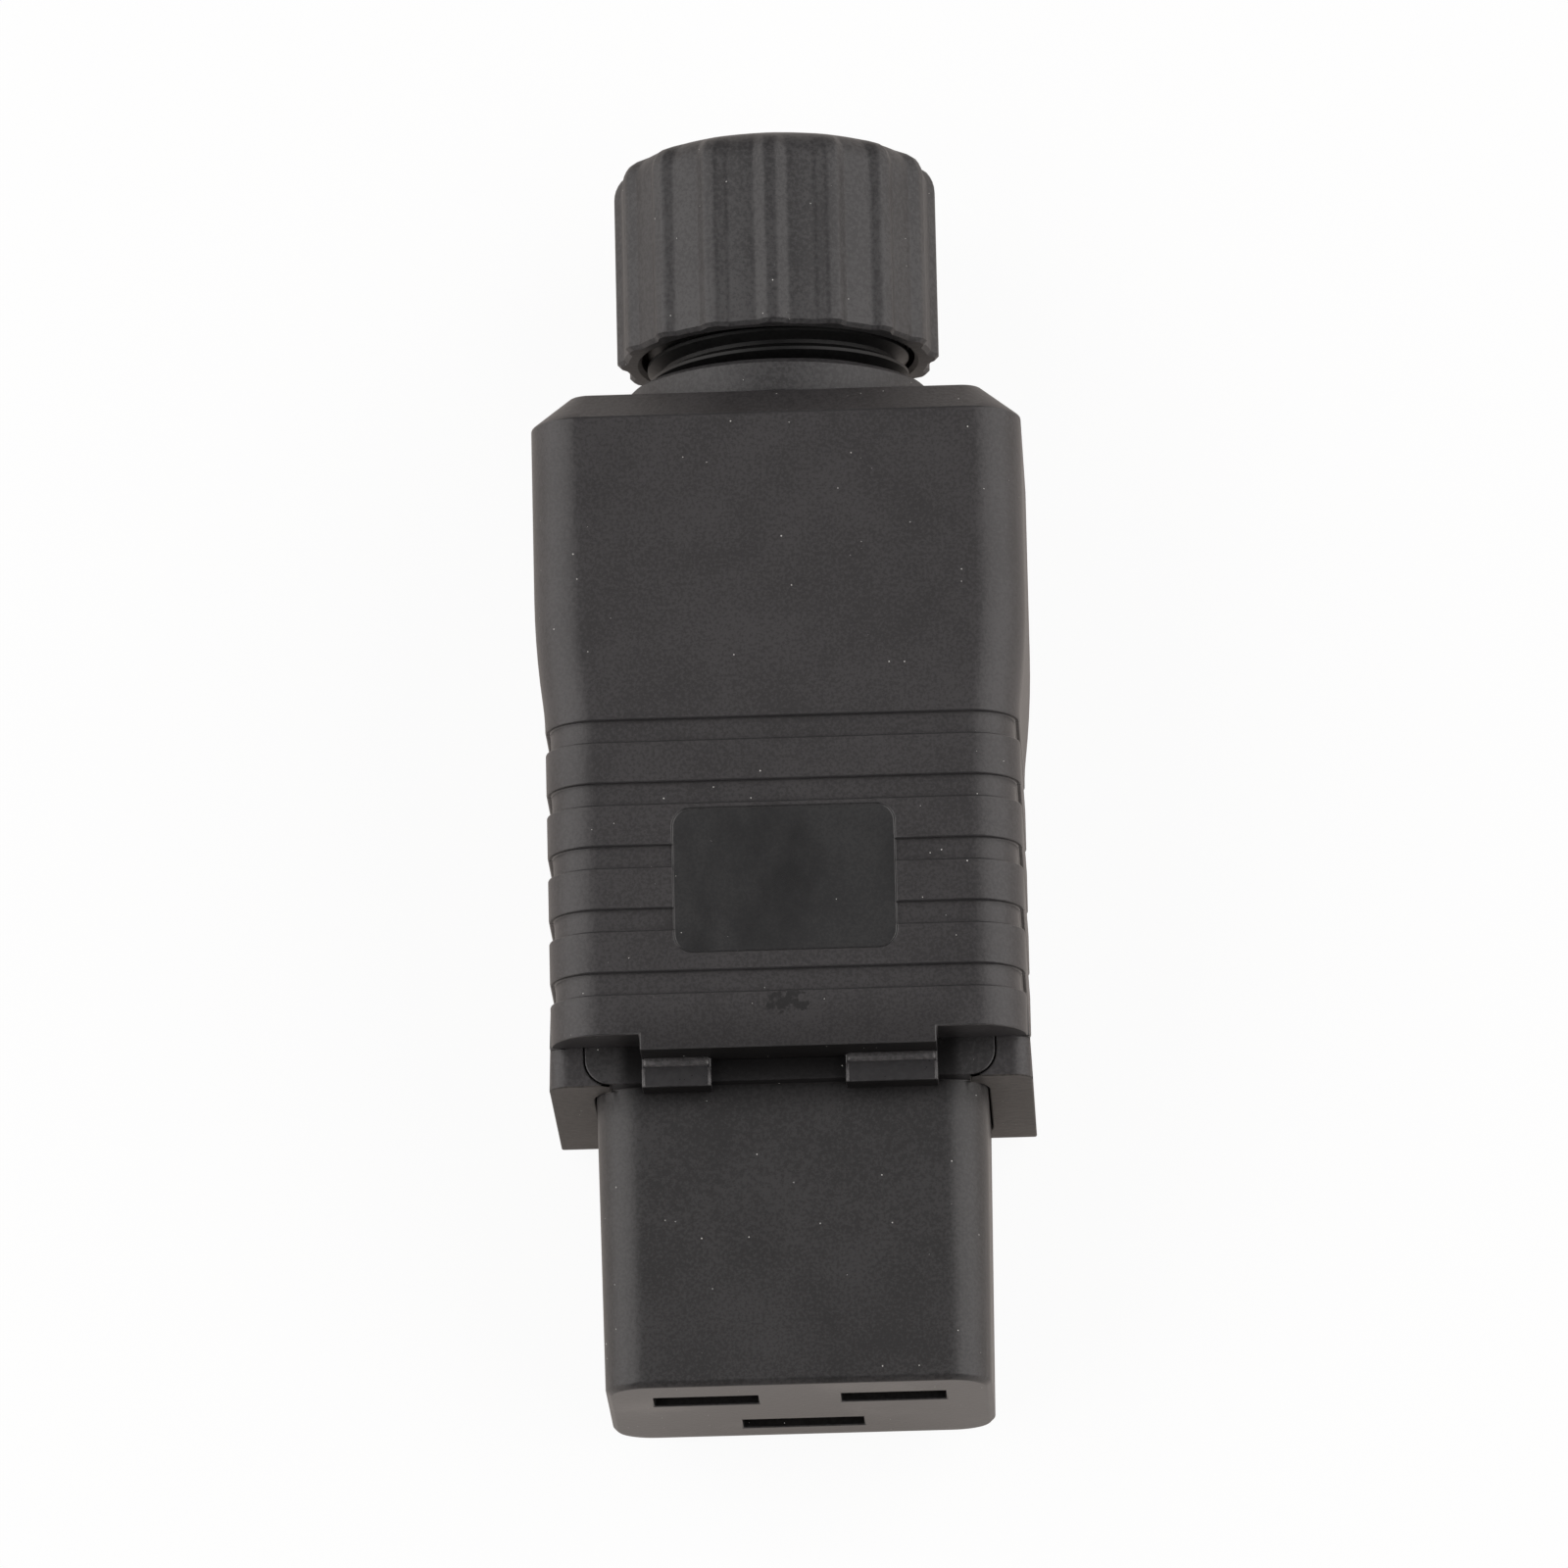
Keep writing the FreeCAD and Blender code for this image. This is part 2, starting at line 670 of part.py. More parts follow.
def lower_shell():
    """Deep tub: grip grooves, seat for the contact block, slot for the neck."""
    body = new_body("lower_shell")
    plan = new_sketch(body, "plan", "XY_Plane", "tub_height")
    outline(plan, mirrored([("front_half", "front_y"), ("waist_half", "groove_front_y")] + REAR_SIDE))
    pad(body, "block", plan, "Sizes.tub_height", flip=True)
    dress(body, "Fillet", "base_edge", "Sizes.base_round", lambda edge: flat_at(edge, "Z", 0))

    inside = new_sketch(body, "inside", "XY_Plane", "tub_height")
    seat = [
        ("flange_flat", "mouth_y"),
        ("flange_flat", "seat_front_y", "seat_round", "left"),
        ("seat_half", "flange_corner_y"),
    ]
    outline(inside, mirrored(seat + CHAMBER_REAR))
    pocket(body, "chamber", inside, "Sizes.chamber_depth")

    stops = new_sketch(body, "stops", "XY_Plane", "floor_thick")
    rectangle(stops, "stop_in", "stop_front_y", "stop_out", "stop_back_y")
    rectangle(stops, "-stop_out", "stop_front_y", "-stop_in", "stop_back_y")
    pad(body, "stop_ribs", stops, "Sizes.stop_height")

    partition = new_sketch(body, "partition", "XY_Plane", "floor_thick")
    rectangle(partition, "-chamber_half", "rib_front_y", "chamber_half", "rib_back_y")
    pad(body, "gland_rib", partition, "Sizes.partition_height")

    posts = new_sketch(body, "posts", "XY_Plane", "floor_thick")
    circle(posts, "post_x", "post_y", "post_width")
    circle(posts, "-post_x", "post_y", "post_width")
    pad(body, "screw_posts", posts, "Sizes.post_top - Sizes.floor_thick")

    window = new_sketch(body, "window", "XZ_Plane", "-mouth_y")
    outline(
        window,
        [
            ("-nose_flat", "window_low"),
            ("nose_flat", "window_low", "window_round", "left"),
            ("window_half", "nose_side_low"),
            ("window_half", "nose_side_top", "window_round", "left"),
            ("nose_flat", "window_top"),
            ("-nose_flat", "window_top", "window_round", "left"),
            ("-window_half", "nose_side_top"),
            ("-window_half", "nose_side_low", "window_round", "left"),
        ],
    )
    pocket(body, "nose_window", window, "Sizes.block_front_y - Sizes.mouth_y + Sizes.flange_round")

    ring = new_sketch(body, "ring", "XZ_Plane", "-nut_front_y", "neck_height")
    circle(ring, "0", "0", "throat_hole")
    pocket(body, "neck_hole", ring, "Sizes.neck_slot_length", flip=True)
    slot = new_sketch(body, "slot", "XZ_Plane", "-nut_front_y")
    rectangle(slot, "-slot_half", "neck_height", "slot_half", "above_z")
    pocket(body, "neck_slot", slot, "Sizes.neck_slot_length", flip=True)

    holes = new_sketch(body, "holes", "XY_Plane")
    circle(holes, "post_x", "post_y", "screw_hole")
    circle(holes, "-post_x", "post_y", "screw_hole")
    pocket(body, "screw_holes", holes, "Sizes.post_top + Sizes.clear_cut", flip=True)
    recess = new_sketch(body, "recess", "XY_Plane")
    circle(recess, "post_x", "post_y", "screw_recess")
    circle(recess, "-post_x", "post_y", "screw_recess")
    pocket(body, "head_recesses", recess, "Sizes.screw_sink", flip=True)

    band = new_sketch(body, "band", "XZ_Plane", "-groove_front_y")
    outline(
        band,
        [
            ("-outside", "tub_height"),
            ("-outside", "-floor_thick"),
            ("outside", "-floor_thick"),
            ("outside", "tub_height"),
            ("groove_half", "tub_height"),
            ("groove_half", "base_round", "groove_low_round", "right"),
            ("groove_low_flat", "groove_depth"),
            ("-groove_low_flat", "groove_depth", "groove_low_round", "right"),
            ("-groove_half", "base_round"),
            ("-groove_half", "tub_height"),
        ],
    )
    groove = pocket(body, "grip_groove", band, "Sizes.groove_width")
    along_y(body, "grip_grooves", groove, "groove_span", "groove_count")

    cheeks = new_sketch(body, "cheeks", "XZ_Plane", "-front_y")
    for side, turn in (("", "right"), ("-", "left")):
        start = (side + "cheek_flat", "tub_height", "cheek_round", turn)
        corner = [(side + "front_half", "cheek_low"), (side + "outside", "cheek_low")]
        outline(cheeks, [start] + corner + [(side + "outside", "tub_height")])
    pocket(body, "cheek_edges", cheeks, "Sizes.cover_setback")
    return body


PLATE = [
    ("-plate_flat", "plate_front_y"),
    ("plate_flat", "plate_front_y", "plate_round", "left"),
    ("plate_half", "plate_front_in"),
    ("plate_half", "plate_back_in", "plate_round", "left"),
    ("plate_flat", "plate_back_y"),
    ("-plate_flat", "plate_back_y", "plate_round", "left"),
    ("-plate_half", "plate_back_in"),
    ("-plate_half", "plate_front_in", "plate_round", "left"),
]


def upper_shell():
    """Shallow cover: quarter-round sides, sloped rear, grooves, plate, front hooks."""
    body = new_body("upper_shell")
    plan = new_sketch(body, "plan", "XY_Plane", "tub_height")
    front = [
        ("tongue_half", "tongue_y"),
        ("tongue_half", "cover_front_y"),
        ("waist_half", "cover_front_y"),
    ]
    outline(plan, mirrored(front + REAR_SIDE[:-1]))
    pad(body, "block", plan, "Sizes.cover_height")
    dress(body, "Fillet", "long_edges", "Sizes.cover_round", is_long_top_edge)
    start = new_sketch(body, "rear_start", "XZ_Plane", "-corner_y")
    outline(start, round_top("rear_half", "rear_flat", "cover_round", "top_z"))
    end = new_sketch(body, "rear_end", "XZ_Plane", "-rear_y")
    outline(end, round_top("corner_half", "end_flat", "end_round", "end_top_z"))
    blend(body, "rear_slope", start, end)

    inside = new_sketch(body, "inside", "XY_Plane", "tub_height")
    outline(inside, mirrored([("hollow_half", "hollow_front_y")] + [
        ("hollow_half", "waist_front_y"),
        ("hollow_half", "chamber_corner_y"),
        ("chamber_corner_half", "chamber_back_y"),
    ]))
    pocket(body, "hollow", inside, "Sizes.hollow_depth", flip=True)

    plug = new_sketch(body, "plug", "XZ_Plane", "-rear_y")
    rectangle(plug, "-plug_half", "plug_low", "plug_half", "round_z")
    pad(body, "slot_plug", plug, "Sizes.rear_wall")
    ring = new_sketch(body, "ring", "XZ_Plane", "-nut_front_y", "neck_height")
    circle(ring, "0", "0", "throat_hole")
    pocket(body, "neck_hole", ring, "Sizes.neck_slot_length", flip=True)

    bosses = new_sketch(body, "bosses", "XY_Plane", "ceiling_z")
    circle(bosses, "post_x", "post_y", "post_width")
    circle(bosses, "-post_x", "post_y", "post_width")
    pad(body, "screw_bosses", bosses, "Sizes.boss_drop", flip=True)
    pilots = new_sketch(body, "pilots", "XY_Plane", "post_top")
    circle(pilots, "post_x", "post_y", "pilot_hole")
    circle(pilots, "-post_x", "post_y", "pilot_hole")
    pocket(body, "pilot_holes", pilots, "Sizes.boss_drop", flip=True)

    band = new_sketch(body, "band", "XZ_Plane", "-groove_front_y")
    outline(
        band,
        [
            ("outside", "tub_height"),
            ("outside", "above_z"),
            ("-outside", "above_z"),
            ("-outside", "tub_height"),
            ("-groove_half", "tub_height"),
            ("-groove_half", "round_z", "groove_round", "right"),
            ("-groove_flat", "groove_top_z"),
            ("groove_flat", "groove_top_z", "groove_round", "right"),
            ("groove_half", "round_z"),
            ("groove_half", "tub_height"),
        ],
    )
    groove = pocket(body, "grip_groove", band, "Sizes.groove_width")
    along_y(body, "grip_grooves", groove, "groove_span", "groove_count")

    plate_cut = new_sketch(body, "plate_cut", "XY_Plane", "top_z")
    outline(plate_cut, PLATE)
    pocket(body, "plate_pocket", plate_cut, "Sizes.plate_sink")
    plate_fill = new_sketch(body, "plate_fill", "XY_Plane", "top_z")
    plate_fill.setExpression("AttachmentOffset.Base.z", "Sizes.top_z - Sizes.plate_sink")
    outline(plate_fill, PLATE)
    pad(body, "plate", plate_fill, "Sizes.plate_sink - Sizes.plate_recess")

    arms = new_sketch(body, "arms", "XY_Plane", "hook_under")
    rectangle(arms, "-tongue_half", "hook_front_y", "-left_hook_in", "hook_back_y")
    rectangle(arms, "right_hook_in", "hook_front_y", "tongue_half", "hook_back_y")
    pad(body, "hook_arms", arms, "Sizes.hook_rise")
    lips = new_sketch(body, "lips", "XY_Plane", "hook_under")
    rectangle(lips, "-tongue_half", "hook_front_y", "-left_hook_in", "hook_inner_y")
    rectangle(lips, "right_hook_in", "hook_front_y", "tongue_half", "hook_inner_y")
    pad(body, "hook_lips", lips, "Sizes.hook_drop", flip=True)
    return body


def round_top(half, flat, corner, top):
    """Cross-section of the cover: flat base on the parting plane, two round top corners."""
    right = [(flat, top, corner, "right"), (half, "round_z"), (half, "tub_height")]
    left = [(minus(half), "tub_height"), (minus(half), "round_z", corner, "right")]
    return left + [(minus(flat), top)] + right


def is_long_top_edge(edge):
    """Top edges along both sides."""
    middle = edge.CenterOfMass
    side = abs(middle.x) > number("waist_half") - 0.1
    ahead = middle.y < number("corner_y") and middle.y > number("cover_front_y") + 0.1
    return flat_at(edge, "Z", number("top_z")) and side and ahead


# ---------------------------------------------------------------- nose and contacts


BLADES = [("line_x", "line", "line_z"), ("-line_x", "line", "line_z"), ("0", "earth", "earth_z")]


def contact_block():
    """Nose with its slots, the flange between the cheeks, and the terminal tray."""
    body = new_body("contact_block")
    plan = new_sketch(body, "plan", "XY_Plane", "flange_low")
    front = [
        ("flange_flat", "block_front_y", "flange_round", "left"),
        ("flange_half", "flange_corner_y"),
        ("flange_half", "flange_back_y"),
    ]
    outline(plan, mirrored(front))
    pad(body, "flange", plan, "Sizes.flange_height")

    tray = new_sketch(body, "tray", "XY_Plane", "tray_low")
    rectangle(tray, "-tray_half", "flange_corner_y", "tray_half", "tray_back_y")
    pad(body, "terminal_tray", tray, "Sizes.tray_high - Sizes.tray_low")

    section = new_sketch(body, "section", "XZ_Plane", "-flange_corner_y")
    outline(
        section,
        [
            ("-nose_flat", "nose_lift"),
            ("nose_flat", "nose_lift", "nose_round", "left"),
            ("nose_half", "nose_side_low"),
            ("nose_half", "nose_side_top", "nose_round", "left"),
            ("nose_flat", "nose_top"),
            ("-nose_flat", "nose_top", "nose_round", "left"),
            ("-nose_half", "nose_side_top"),
            ("-nose_half", "nose_side_low", "nose_round", "left"),
        ],
    )
    pad(body, "nose", section, "Sizes.nose_reach", taper="-Sizes.nose_draft")
    dress(body, "Chamfer", "tip_edge", "Sizes.tip_bevel", is_tip_edge)

    face = new_sketch(body, "face", "XZ_Plane", "-tip_y")
    for x, width, z in BLADES:
        slot_rectangle(face, x, z, width + "_slot_half", "slot_rise")
    pocket(body, "blade_slots", face, "Sizes.face_wall + Sizes.clear_cut")
    inner = new_sketch(body, "inner", "XZ_Plane", "-cavity_front_y")
    for x, width, z in BLADES:
        slot_rectangle(inner, x, z, width + "_cavity_half", "cavity_rise")
    pocket(body, "contact_cavities", inner, "Sizes.well_front_y - Sizes.cavity_front_y + Sizes.clear_cut")

    wells = new_sketch(body, "wells", "XY_Plane", "tray_high")
    slot_rectangle(wells, "terminal_pitch", "well_mid_y", "well_half", "well_reach")
    slot_rectangle(wells, "-terminal_pitch", "well_mid_y", "well_half", "well_reach")
    pocket(body, "line_wells", wells, "Sizes.tray_high - Sizes.well_floor")
    middle = new_sketch(body, "middle", "XY_Plane", "tray_high")
    slot_rectangle(middle, "0", "well_mid_y", "well_half", "well_reach")
    pocket(body, "earth_well", middle, "Sizes.tray_high - Sizes.earth_well_floor")

    pilots = new_sketch(body, "pilots", "XY_Plane", "tray_high")
    circle(pilots, "lid_screw_x", "cage_y", "lid_pilot")
    circle(pilots, "-lid_screw_x", "cage_y", "lid_pilot")
    pocket(body, "lid_pilots", pilots, "Sizes.lid_screw_length")
    return body


def slot_rectangle(sketch, x, y, half_width, half_height):
    """A rectangle round a centre, each size a cell."""
    middle_x = number(x)
    middle_y = number(y)
    wide = number(half_width)
    high = number(half_height)
    corners = [(-1, -1), (1, -1), (1, 1), (-1, 1)]
    points = [Vector(middle_x + i * wide, middle_y + j * high, 0) for i, j in corners]
    first = sketch.GeometryCount
    for index in range(4):
        sketch.addGeometry(Part.LineSegment(points[index], points[(index + 1) % 4]), False)
    for index in range(4):
        following = first + (index + 1) % 4
        sketch.addConstraint(Sketcher.Constraint("Coincident", first + index, 2, following, 1))
    for index, (i, j) in enumerate(corners):
        tie(sketch, "DistanceX", first + index, points[index].x, plus(x, half_width, i))
        tie(sketch, "DistanceY", first + index, points[index].y, plus(y, half_height, j))


def plus(token, step, sign):
    """Expression for a cell plus or minus another one."""
    mark = "+" if sign > 0 else "-"
    start = "" if token == "0" else formula(token) + " "
    return f"{start}{mark} Sizes.{step}".strip()


def tie(sketch, axis, geo, value, text):
    """Distance of a corner from the sketch's origin, as an expression over the cells."""
    index = sketch.addConstraint(Sketcher.Constraint(axis, -1, 1, geo, 1, value))
    sketch.setExpression(f"Constraints[{index}]", text.lstrip("+ "))


def is_tip_edge(edge):
    """Edges round the nose's front face."""
    return flat_at(edge, "Y", number("tip_y"))


def across(body, name, points, width, middle, rise="0"):
    """A side-view outline made into a strip of a given width, centred on an X station."""
    sketch = new_sketch(body, name, "YZ_Plane", "0", rise)
    sketch.setExpression("AttachmentOffset.Base.z", f"{middle} - Sizes.{width} / 2")
    outline(sketch, points)
    return pad(body, name + "_strip", sketch, "Sizes." + width)


def side_rectangle(low_y, low_z, high_y, high_z):
    """Outline of a rectangle in the side view."""
    return [(low_y, low_z), (high_y, low_z), (high_y, high_z), (low_y, high_z)]


FORK = [
    ("fork_front_y", "mouth_out"),
    ("fork_front_y", "mouth_in"),
    ("fork_pinch_y", "pinch_in"),
    ("fork_root_y", "root_in"),
    ("fork_root_y", "-root_in"),
    ("fork_pinch_y", "-pinch_in"),
    ("fork_front_y", "-mouth_in"),
    ("fork_front_y", "-mouth_out"),
    ("fork_pinch_y", "-pinch_out"),
    ("fork_back_y", "-root_out"),
    ("fork_back_y", "root_out"),
    ("fork_pinch_y", "pinch_out"),
]


def contact(label, fork_x, fork_z, cage_x, riser_low, riser_high):
    """Brass fork that grips a blade, a shank and riser behind it, and a cage terminal."""
    body = new_body(label)
    across(body, "fork", FORK, "fork_width", fork_x, fork_z)
    shank = side_rectangle("fork_root_y", "-half_sheet", "riser_back_y", "half_sheet")
    across(body, "shank", shank, "shank_width", fork_x, fork_z)
    riser = side_rectangle("riser_front_y", riser_low, "riser_back_y", riser_high)
    across(body, "riser", riser, "shank_width", fork_x)
    strap = side_rectangle("riser_front_y", "cage_floor", "cage_y", "strap_top")
    across(body, "strap", strap, "shank_width", fork_x)
    cage = side_rectangle("cage_front_y", "cage_floor", "cage_back_y", "cage_top")
    across(body, "cage", cage, "cage_width", cage_x)

    opening = new_sketch(body, "opening", "XZ_Plane", "-cage_front_y")
    opening.setExpression("AttachmentOffset.Base.x", cage_x)
    rectangle(opening, "-window_x", "strap_top", "window_x", "cage_window_top")
    pocket(body, "wire_window", opening, "Sizes.cage_length")
    hole = new_sketch(body, "hole", "XY_Plane", "cage_top")
    hole.setExpression("AttachmentOffset.Base.x", cage_x)
    circle(hole, "0", "cage_y", "terminal_hole")
    pocket(body, "screw_hole", hole, "Sizes.cage_top - Sizes.cage_window_top + Sizes.seat_gap")
    return body


def box(name, x, y, z, length, width, height):
    """A box whose place and size are expressions over the cells."""
    solid = doc.addObject("Part::Box", name)
    for field, text in (("Placement.Base.x", x), ("Placement.Base.y", y), ("Placement.Base.z", z)):
        solid.setExpression(field, text)
    for field, text in (("Length", length), ("Width", width), ("Height", height)):
        solid.setExpression(field, text)
    return solid


def cylinder(name, x, y, z, diameter, height):
    """An upright cylinder whose place and size are expressions over the cells."""
    solid = doc.addObject("Part::Cylinder", name)
    for field, text in (("Placement.Base.x", x), ("Placement.Base.y", y), ("Placement.Base.z", z)):
        solid.setExpression(field, text)
    solid.setExpression("Radius", f"{diameter} / 2")
    solid.setExpression("Height", height)
    return solid


def combined(kind, label, base, tool):
    """Two solids joined or cut."""
    result = doc.addObject(f"Part::{kind}", label)
    result.Label = label
    result.Base = base
    result.Tool = tool
    return result


def blade_spring(label, x, z):
    """Steel band round a fork at its pinch, which keeps the leaves pressed together."""
    y = "Sizes.fork_pinch_y - Sizes.spring_width / 2"
    length = "Sizes.spring_width"
    outer = box(
        label + "_outer",
        f"{x} - Sizes.spring_half",
        y,
        f"Sizes.{z} - Sizes.spring_rise",
        "2 * Sizes.spring_half",
        length,
        "2 * Sizes.spring_rise",
    )
    inner = box(
        label + "_inner",
        f"{x} - Sizes.spring_half + Sizes.spring_thick",
        y,
        f"Sizes.{z} - Sizes.spring_rise + Sizes.spring_thick",
        "2 * (Sizes.spring_half - Sizes.spring_thick)",
        length,
        "2 * (Sizes.spring_rise - Sizes.spring_thick)",
    )
    return combined("Cut", label, outer, inner)


def clamp_plate(label, x):
    """Pressure plate that a terminal screw drives down onto the wire."""
    plate = box(
        label,
        f"{x} - Sizes.clamp_half",
        "Sizes.cage_y - Sizes.clamp_length / 2",
        "Sizes.clamp_low",
        "2 * Sizes.clamp_half",
        "Sizes.clamp_length",
        "Sizes.clamp_thick",
    )
    plate.Label = label
    return plate


def screws(label, stations, y, seat, thread, length, head, head_height, upward=False):
    """Slotted screws of one kind, as separate solids in one node; seat is under the head."""
    solids = []
    for index, x in enumerate(stations, start=1):
        name = f"{label}_{index}"
        head_low = f"{seat} - {head_height}" if upward else seat
        shank_low = seat if upward else f"{seat} - {length}"
        slot_low = head_low if upward else f"{seat} + {head_height} / 2"
        shank = cylinder(name + "_shank", x, y, shank_low, thread, length)
        cap = cylinder(name + "_cap", x, y, head_low, head, head_height)
        slot = box(
            name + "_slot",
            f"{x} - {head}",
            f"{y} - Sizes.slot_blade / 2",
            slot_low,
            f"2 * {head}",
            "Sizes.slot_blade",
            f"{head_height} / 2",
        )
        whole = combined("Fuse", name + "_blank", shank, cap)
        solids.append(combined("Cut", name, whole, slot))
    group = doc.addObject("Part::Compound", label)
    group.Label = label
    group.Links = solids
    return group


def terminal_lid():
    """Insulating lid over the tray, with a hole above each terminal screw."""
    body = new_body("terminal_lid")
    plan = new_sketch(body, "plan", "XY_Plane", "lid_low")
    rectangle(plan, "-lid_half", "lid_front_y", "lid_half", "tray_back_y")
    pad(body, "plate", plan, "Sizes.lid_thick")
    holes = new_sketch(body, "holes", "XY_Plane", "lid_low")
    for x in ("-terminal_pitch", "0", "terminal_pitch"):
        circle(holes, x, "cage_y", "driver_hole")
    circle(holes, "-lid_screw_x", "cage_y", "lid_hole")
    circle(holes, "lid_screw_x", "cage_y", "lid_hole")
    pocket(body, "driver_holes", holes, "Sizes.lid_thick", flip=True)
    return body


# ---------------------------------------------------------------- cord gland


def gland_body():
    """Neck of the gland: foot inside the shell, collar behind it, plain thread cylinder."""
    body = new_body("gland_body")
    profile = [
        ("foot_front_y", "0"),
        ("foot_front_y", "throat_r"),
        ("rear_y", "throat_r"),
        ("rear_y", "collar_r"),
        ("collar_edge_y", "collar_r"),
        ("collar_y", "collar_edge_r"),
        ("collar_y", "neck_r"),
        ("neck_edge_y", "neck_r"),
        ("neck_end_y", "neck_edge_r"),
        ("neck_end_y", "0"),
    ]
    turned(body, "Revolution", "neck", profile)
    foot = new_sketch(body, "foot", "XZ_Plane", "-foot_back_y")
    rectangle(foot, "-foot_half", "foot_low", "foot_half", "foot_high")
    pad(body, "foot_plate", foot, "Sizes.foot_thick")
    dress(body, "Fillet", "foot_corners", "Sizes.foot_round", is_foot_corner)
    bore = new_sketch(body, "bore", "XZ_Plane", "-neck_end_y", "neck_height")
    circle(bore, "0", "0", "neck_bore")
    pocket(body, "neck_bore", bore, "Sizes.neck_end_y - Sizes.lip_back_y", flip=True)
    lip = new_sketch(body, "lip", "XZ_Plane", "-lip_back_y", "neck_height")
    circle(lip, "0", "0", "lip_bore")
    pocket(body, "lip_hole", lip, "Sizes.lip_thick + Sizes.clear_cut", flip=True)
    return body


def is_foot_corner(edge):
    """Corner edges of the foot, which run along Y."""
    stations = sorted(vertex.Y for vertex in edge.Vertexes)
    front = is_near(stations[0], number("foot_front_y"))
    back = is_near(stations[-1], number("foot_back_y"))
    return front and back and is_near(abs(edge.CenterOfMass.x), number("foot_half"))


def gland_claw():
    """Slotted grip ring: it stands in the neck's bore and its head lies on the neck's end."""
    body = new_body("gland_claw")
    profile = [
        ("claw_front_y", "claw_bore"),
        ("claw_front_y", "claw_radius"),
        ("claw_seat_y", "claw_radius"),
        ("claw_seat_y", "claw_head"),
        ("claw_cone_y", "claw_head"),
        ("claw_end_y", "claw_cone_r"),
        ("claw_end_y", "claw_bore"),
    ]
    turned(body, "Revolution", "ring", profile)
    gap = new_sketch(body, "gap", "XZ_Plane", "-claw_end_y", "neck_height")
    rectangle(gap, "-claw_slot_half", "sleeve_radius", "claw_slot_half", "neck_r")
    cut = pocket(body, "finger_gap", gap, "Sizes.claw_finger_length", flip=True)
    polar(body, "finger_gaps", cut, gap, "claw_fingers")
    return body


def plain_ring(label, front_y, back_y, inner, outer):
    """A ring of rectangular section round the gland's axis."""
    body = new_body(label)
    profile = side_rectangle(front_y, inner, back_y, outer)
    turned(body, "Revolution", "ring", profile)
    return body


def gland_nut():
    """Ribbed nut: plain thread bore with a wider mouth, cord hole, rear shoulder in two slopes."""
    body = new_body("gland_nut")
    profile = [
        ("nut_front_y", "nut_mouth_r"),
        ("nut_front_y", "nut_root"),
        ("nut_rear_y", "nut_root"),
        ("nut_rear_y", "nut_hole_r"),
        ("nut_cavity_y", "nut_hole_r"),
        ("nut_cavity_y", "nut_bore"),
        ("nut_mouth_y", "nut_bore"),
        ("nut_mouth_y", "nut_mouth_r"),
    ]
    turned(body, "Revolution", "barrel", profile)
    rib = new_sketch(body, "rib", "XZ_Plane", "-nut_front_y", "neck_height")
    outline(
        rib,
        [
            ("-rib_base_half", "rib_foot_r"),
            ("rib_base_half", "rib_foot_r"),
            ("rib_top_half", "nut_radius"),
            ("-rib_top_half", "nut_radius"),
        ],
    )
    one = pad(body, "grip_rib", rib, "Sizes.nut_length", flip=True)
    polar(body, "grip_ribs", one, rib, "nut_ribs")
    shoulder = [
        ("nut_shoulder_y", "nut_radius"),
        ("shoulder_mid_y", "shoulder_mid_r"),
        ("nut_rear_y", "nut_shoulder_r"),
        ("nut_past_y", "nut_shoulder_r"),
        ("nut_past_y", "nut_past_r"),
        ("nut_shoulder_y", "nut_past_r"),
    ]
    turned(body, "Groove", "shoulder", shoulder)
    return body


# ---------------------------------------------------------------- whole connector

LINE_X = "Sizes.line_x"
LINE_CAGE = "Sizes.terminal_pitch"

contact_sets = [
    ("line", LINE_X, "line_z", LINE_CAGE, "cage_floor", "line_z"),
    ("neutral", "-" + LINE_X, "line_z", "-" + LINE_CAGE, "cage_floor", "line_z"),
    ("earth", "0", "earth_z", "0", "earth_z", "strap_top"),
]

parts = [lower_shell(), upper_shell(), contact_block()]
for pole, fork_x, fork_z, cage_x, riser_low, riser_high in contact_sets:
    parts.append(contact(pole + "_contact", fork_x, fork_z, cage_x, riser_low, riser_high))
    parts.append(blade_spring(pole + "_spring", fork_x, fork_z))
    parts.append(clamp_plate(pole + "_clamp", cage_x))
parts.append(
    screws(
        "terminal_screws",
        ["-" + LINE_CAGE, "0", LINE_CAGE],
        "Sizes.cage_y",
        "Sizes.terminal_seat",
        "Sizes.terminal_thread",
        "Sizes.terminal_length",
        "Sizes.terminal_head",
        "Sizes.head_height",
    )
)
parts.append(terminal_lid())
parts.append(
    screws(
        "lid_screws",
        ["-Sizes.lid_screw_x", "Sizes.lid_screw_x"],
        "Sizes.cage_y",
        "Sizes.lid_seat",
        "Sizes.lid_screw_thread",
        "Sizes.lid_screw_length",
        "Sizes.lid_screw_head",
        "Sizes.lid_head_height",
    )
)
parts.append(
    screws(
        "cover_screws",
        ["-Sizes.post_x", "Sizes.post_x"],
        "Sizes.post_y",
        "Sizes.screw_sink",
        "Sizes.screw_thread",
        "Sizes.screw_length",
        "Sizes.screw_head",
        "Sizes.screw_head_height",
        upward=True,
    )
)
parts.append(gland_body())
parts.append(gland_claw())
parts.append(
    plain_ring("sealing_sleeve", "sleeve_front_y", "sleeve_end_y", "sleeve_bore_r", "sleeve_radius")
)
parts.append(
    plain_ring("slip_washer", "washer_front_y", "washer_back_y", "washer_bore_r", "washer_r")
)
parts.append(gland_nut())
doc.recompute()

for item in doc.Objects:
    if "Invalid" in item.State or "Error" in item.State:
        raise RuntimeError(f"{item.Name} did not compute: {item.State}")
for part in parts:
    if part.Shape.isNull() or not part.Shape.isValid() or not part.Shape.Solids:
        raise RuntimeError(f"{part.Label} has no valid solid")

